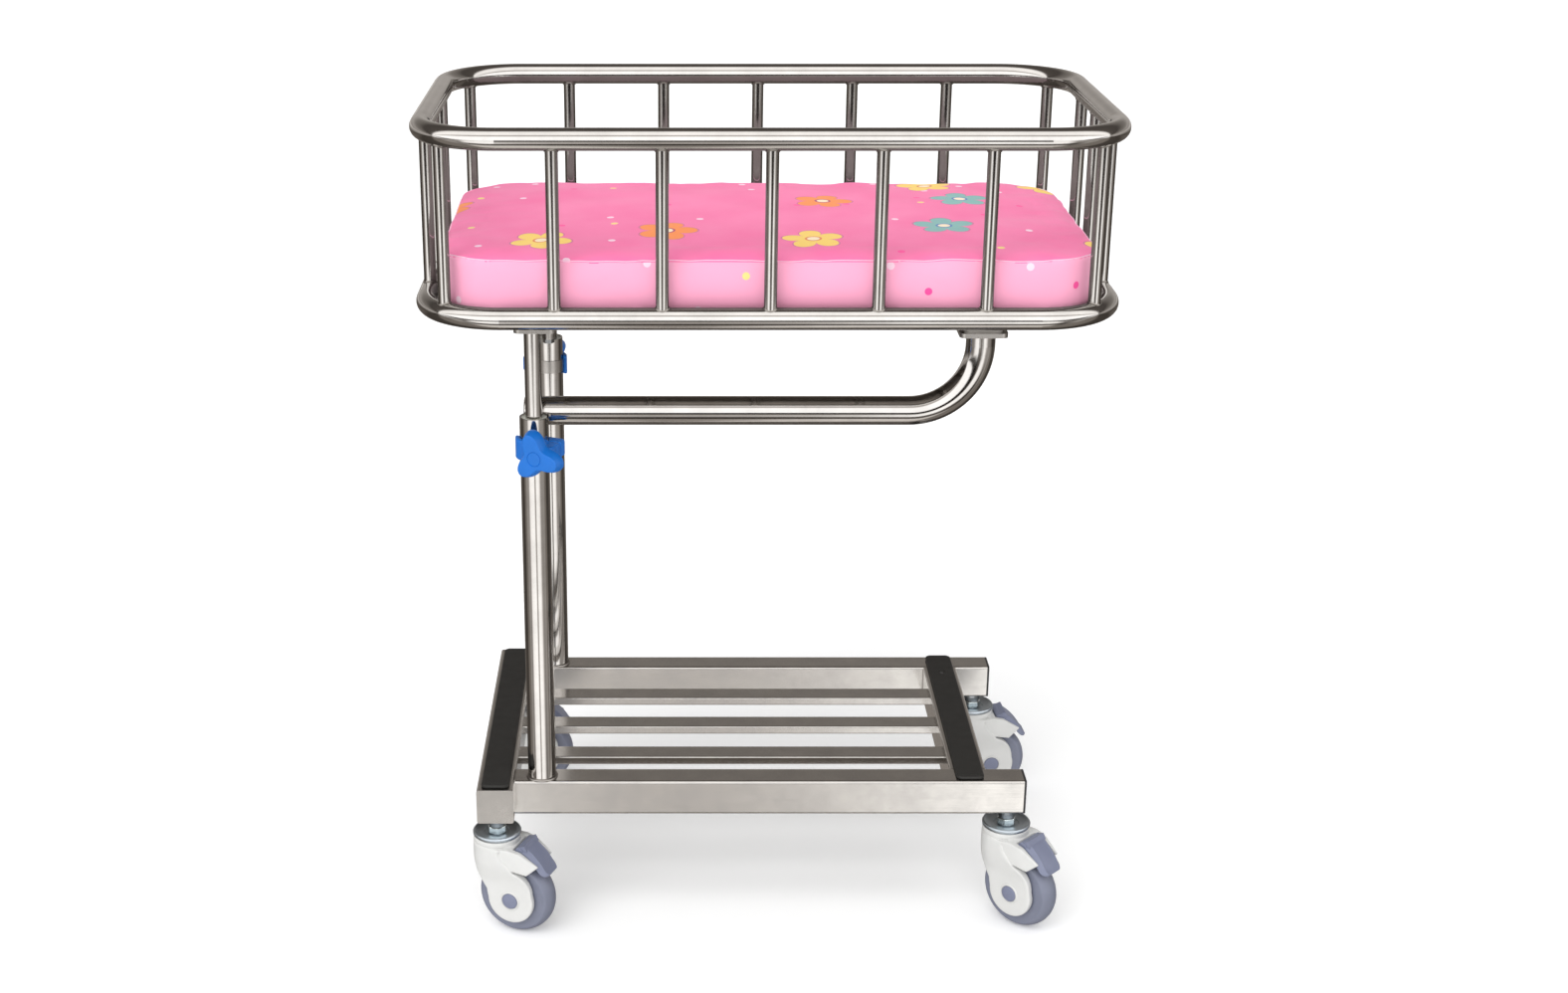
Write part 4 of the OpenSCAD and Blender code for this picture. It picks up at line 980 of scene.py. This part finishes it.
# Half of five turns, taken without its sign, gives five petals
petal_turn = number("ADD", number("MULTIPLY", flower_angle, 2.5), flower_turn)
petals = number("ABSOLUTE", number("COSINE", petal_turn))
petal_edge = number("MULTIPLY_ADD", number("POWER", petals, 0.6), PETAL_LONG, PETAL_FROM)
is_shown = number("GREATER_THAN", flower_chance["Red"], 0.48)
flower_mask = number("MULTIPLY", number("LESS_THAN", flower_r, petal_edge), is_shown)
to_edge = number("SUBTRACT", petal_edge, flower_r)
petal_line = number("MULTIPLY", number("LESS_THAN", to_edge, PETAL_LINE), flower_mask)
eye_mask = number("MULTIPLY", number("LESS_THAN", flower_r, EYE_R), is_shown)
pip_mask = number("MULTIPLY", number("LESS_THAN", flower_r, PIP_R), is_shown)
_, dot_chance, dot_r = scatter(DOT_SPACING, 0.9)
dot_shown = number("GREATER_THAN", dot_chance["Red"], 0.62)
dot_mask = number("MULTIPLY", number("LESS_THAN", dot_r, DOT_R), dot_shown)
petal_colour = ramp(cotton_tree, flower_chance["Green"],
                    [(0.0, "#ffd76a"), (0.34, "#fff1f5"), (0.56, "#ff9248"), (0.78, "#86b8b4")], "CONSTANT")
eye_colour = ramp(cotton_tree, flower_chance["Green"],
                  [(0.0, "#e8874a"), (0.34, "#d8679a"), (0.56, "#b8456f"), (0.78, "#4f7fb8")], "CONSTANT")
dot_colour = ramp(cotton_tree, dot_chance["Green"],
                  [(0.0, "#ffd7e8"), (0.5, "#ff4f9e"), (0.8, "#ffe08a")], "CONSTANT")
fade = add(cotton_tree, "ShaderNodeTexNoise",
           {"Vector": cloth_uv, "Scale": 9.0, "Detail": 4.0}).outputs["Fac"]
top_cloth = ramp(cotton_tree, fade, [(0.34, PINK), (0.66, SECOND_PINK)])
along_cloth = add(cotton_tree, "ShaderNodeSeparateXYZ", {"Vector": cloth_uv}).outputs
# Painted light: the side band gets the paler pink, which paints the frontal light on the cover's sides
is_band = number("LESS_THAN", along_cloth["Y"], BAND_BELOW)
ground = printed_over(top_cloth, linear(PAINTED_LIGHT_BAND_PINK), is_band)
printed = ground
for ink, mask in ((dot_colour, dot_mask), (petal_colour, flower_mask), (linear("#d9709a"), petal_line),
                  (eye_colour, eye_mask), (linear("#ffe9c9"), pip_mask)):
    printed = printed_over(printed, ink, mask)
# Painted reflection: rays that bounce off the steel see the cover as a dull grey-pink instead of its print,
# so the pink mirrored in the tubes is painted duller
is_mirrored = add(cotton_tree, "ShaderNodeLightPath").outputs["Is Glossy Ray"]
seen = printed_over(printed, linear(PAINTED_REFLECTION_PINK), is_mirrored)
cotton_tree.links.new(seen, cotton_shader.inputs["Base Color"])
warp, weft = (
    add(cotton_tree, "ShaderNodeTexWave", {"Vector": cloth_uv, "Scale": 0.314 / THREAD, "Distortion": 0.4},
        bands_direction=way).outputs["Fac"] for way in "XY")
weave = number("MULTIPLY", warp, weft)
cotton_bump = add(cotton_tree, "ShaderNodeBump", {"Strength": 0.12, "Distance": 0.0003, "Height": weave})
cotton_tree.links.new(cotton_bump.outputs[0], cotton_shader.inputs["Normal"])
print("print: motifs every", MOTIF_SPACING * 1000, "mm")

# %% [markdown]
# ## Mattress
# Foam in a sewn cover is a box that has been let out a little: the top crowns, the sides pull
# in between the corners and the seams stay sharp. A closed box is built a few millimetres
# small, remeshed, and blown up a little as cloth. Its points are then kept on the deck and clear
# of the bars.

# %% Mattress shape
DECK_Z = 0.8806
MAT_X, MAT_Y, MAT_ROUND = 0.4195, 0.2295, 0.084
MAT_EDGE_Z = 0.9515
CROWN = 0.0075
VOXEL = 0.006


def rounded_outline(half_x, half_y, r, per_corner=10, per_side=14, draw_in=0.0):
    """A rectangle with round corners, its sides drawn in towards their middles."""
    points = []
    for cx, cy, start in ((1, 1, 0), (-1, 1, 90), (-1, -1, 180), (1, -1, 270)):
        for i in range(per_corner + 1):
            a = math.radians(start + 90 * i / per_corner)
            points.append((cx * (half_x - r) + r * math.cos(a), cy * (half_y - r) + r * math.sin(a)))
        along_x, along_y = Vector((-cx, 0)), Vector((0, -cy))
        if start in (0, 180):
            line, step, inward = 2 * (half_x - r), along_x, along_y
        else:
            line, step, inward = 2 * (half_y - r), along_y, along_x
        corner = Vector(points[-1])
        for i in range(1, per_side):
            t = i / per_side
            points.append(tuple(corner + step * line * t + inward * draw_in * math.sin(math.pi * t)))
    return points


def shell(rings):
    """A closed shell from rings of (way inward, height) over the mattress's outline."""
    outline = rounded_outline(MAT_X, MAT_Y, MAT_ROUND, draw_in=0.002)
    count = len(outline)
    vertices = []
    for inward, z in rings:
        vertices += [(x * (1 - inward / MAT_X), y * (1 - inward / MAT_Y), z) for x, y in outline]
    faces = ring_faces(len(rings), count)
    vertices += [(0, 0, rings[0][1]), (0, 0, rings[-1][1])]
    last = (len(rings) - 1) * count
    for i in range(count):
        j = (i + 1) % count
        faces.append((len(vertices) - 2, j, i))
        faces.append((len(vertices) - 1, last + i, last + j))
    return vertices, faces


EDGE = 0.004
mattress_rings = [(0.012, DECK_Z), (EDGE, DECK_Z + 0.001), (0.0, DECK_Z + 0.006),
                  (0.0006, DECK_Z + 0.03), (0.0, MAT_EDGE_Z - EDGE), (0.0012, MAT_EDGE_Z - 0.001),
                  (EDGE, MAT_EDGE_Z)]
mattress_rings += [(f * MAT_Y, MAT_EDGE_Z + CROWN * math.sin(math.pi / 2 * f))
                   for f in (0.1, 0.25, 0.5, 0.75, 0.95)]
mattress = piece("mattress_cover", *shell(mattress_rings), printed_cotton, "mattress", "mattress_cloth")
remesh = mattress.modifiers.new("remesh", "REMESH")
remesh.mode = "VOXEL"
remesh.voxel_size = VOXEL


def apply_modifiers(obj):
    """Puts the result of an object's modifiers into its mesh."""
    graph = bpy.context.evaluated_depsgraph_get()
    result = bpy.data.meshes.new_from_object(obj.evaluated_get(graph))
    material_list = list(obj.data.materials)
    obj.modifiers.clear()
    obj.data = result
    result.materials.clear()
    for material in material_list:
        result.materials.append(material)


apply_modifiers(mattress)
print("mattress points:", len(mattress.data.vertices))

# %% [markdown]
# A soft pressure over a few steps is enough: a stronger one threw points centimetres away.
# With this one they move by about 3.5 mm at most, and a cap of 4 mm only guards that.

# %% Mattress blown up as cloth
MOVE_CAP = 0.004
SIM_FRAMES = 12
PRESSURE = 0.5


def points_of(mesh):
    flat = np.empty(len(mesh.vertices) * 3)
    mesh.vertices.foreach_get("co", flat)
    return flat.reshape(-1, 3)


before = points_of(mattress.data)
cloth = mattress.modifiers.new("cloth", "CLOTH")
cloth.settings.use_pressure = True
cloth.settings.uniform_pressure_force = PRESSURE
cloth.settings.effector_weights.gravity = 0
cloth.settings.quality = 5
cloth.point_cache.frame_start = 1
cloth.point_cache.frame_end = SIM_FRAMES
scene.frame_start, scene.frame_end = 1, SIM_FRAMES
for frame_number in range(1, SIM_FRAMES + 1):
    scene.frame_set(frame_number)
apply_modifiers(mattress)
scene.frame_set(1)
after = points_of(mattress.data)
move = after - before
length = np.linalg.norm(move, axis=1)
share = np.minimum(1, MOVE_CAP / np.maximum(length, 1e-9))
after = before + move * share[:, None]
mattress.data.vertices.foreach_set("co", after.ravel())
print("largest move:", round(float(length.max()) * 1000, 1), "mm")

# %% [markdown]
# Hands press folds into a cover: short ones square to the seam, and softer ones towards the
# corners. They are added as waves of a millimetre or less, strongest near the seam.

# %% Mattress folds, limits and seam
FOLD = 0.0011
# The cover's furthest reach along X and Y, by the bottom rail and above it
LOW_REACH, HIGH_REACH, LOW_TO_Z = (0.4212, 0.2312), (0.4235, 0.2335), 0.9


def settle(p):
    """Where a point of the cover ends: with its folds, on the deck and inside the bars."""
    near_seam = math.exp(-((p[2] - MAT_EDGE_Z) / 0.022) ** 2)
    long_wave = noise.noise(Vector((p[0] * 16, p[1] * 16, p[2] * 5)))
    short_wave = noise.noise(Vector((p[0] * 55, p[1] * 55, p[2] * 12 + 3)))
    inside = max(abs(p[0]) / MAT_X, abs(p[1]) / MAT_Y)
    rise = FOLD * (1.3 * long_wave + near_seam * inside ** 4 * 1.2 * short_wave)
    x, y, z = p
    if z > DECK_Z + 0.004:
        outward = Vector((x * (abs(x) > MAT_X - 0.02), y * (abs(y) > MAT_Y - 0.02), 0))
        if outward.length:
            outward.normalize()
            x += outward.x * rise
            y += outward.y * rise
        if z > MAT_EDGE_Z - 0.004:
            z += rise * 1.4
    limit_x, limit_y = LOW_REACH if z < LOW_TO_Z else HIGH_REACH
    return (min(max(x, -limit_x), limit_x), min(max(y, -limit_y), limit_y),
            min(max(z, DECK_Z), MAT_EDGE_Z + 0.011))


settled = [settle(p) for p in points_of(mattress.data)]
mattress.data.vertices.foreach_set("co", [c for p in settled for c in p])
refine = mattress.modifiers.new("smooth", "SUBSURF")
refine.levels = refine.render_levels = 1
apply_modifiers(mattress)
mattress.data.polygons.foreach_set("use_smooth", [True] * len(mattress.data.polygons))


def round_the_edge(x, y):
    """How far along the mattress's outline a point of its side lies, in metres."""
    straight_x, straight_y = MAT_X - MAT_ROUND, MAT_Y - MAT_ROUND
    arc = MAT_ROUND * math.pi / 2
    ax, ay = abs(x), abs(y)
    if ax <= straight_x:
        first = ax
    elif ay >= straight_y:
        first = straight_x + arc * math.atan2(ax - straight_x, max(ay - straight_y, 1e-6)) / (math.pi / 2)
    else:
        first = straight_x + arc + straight_y - ay
    quarter = straight_x + arc + straight_y
    if y < 0:
        return first if x >= 0 else -first
    return 2 * quarter - first if x >= 0 else -(2 * quarter - first)


# Moves the print along the side band, so that its front shows dots
BAND_SHIFT = 0.5


def map_cloth(obj):
    """Cloth coordinates: the top sheet from above, the side band round the outline."""
    mesh = obj.data
    layer = mesh.uv_layers.new(name="cloth")
    corners = points_of(mesh)
    for polygon in mesh.polygons:
        on_top = abs(polygon.normal.z) > 0.6
        wraps = polygon.center.y > 0 and abs(polygon.center.x) < 0.01
        for loop in polygon.loop_indices:
            x, y, z = corners[mesh.loops[loop].vertex_index]
            if on_top:
                layer.data[loop].uv = (x, y)
            else:
                u = round_the_edge(abs(x) if wraps else x, y)
                layer.data[loop].uv = (u + BAND_SHIFT, z - MAT_EDGE_Z - MAT_Y)


map_cloth(mattress)
surface = BVHTree.FromObject(mattress, bpy.context.evaluated_depsgraph_get())
seam_line = []
for x, y in rounded_outline(MAT_X, MAT_Y, MAT_ROUND, per_corner=16, per_side=60, draw_in=0.002):
    hit, _, _, _ = surface.find_nearest(Vector((x * 1.002, y * 1.002, MAT_EDGE_Z + 0.001)))
    seam_line.append(hit)
# The seam binding is real, but its near-white pink is a painted highlight: it stands in for the light line
# along the seam's edge
seam_thread, seam_tree, seam_shader = new_material("pink seam binding", "#ffc9e0", 0.0, 0.6, IOR=1.47)
seam_noise = add(seam_tree, "ShaderNodeTexNoise", {"Scale": 1500.0})
seam_bump = add(seam_tree, "ShaderNodeBump",
                {"Strength": 0.2, "Distance": 0.0003, "Height": seam_noise.outputs["Fac"]})
seam_tree.links.new(seam_bump.outputs[0], seam_shader.inputs["Normal"])
piece("mattress_seam", *swept(seam_line, 0.0008, sides=6), seam_thread, "mattress", "mattress_cloth")
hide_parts("mattress")
print("mattress height:", round(max(p[2] for p in points_of(mattress.data)), 4), "m")
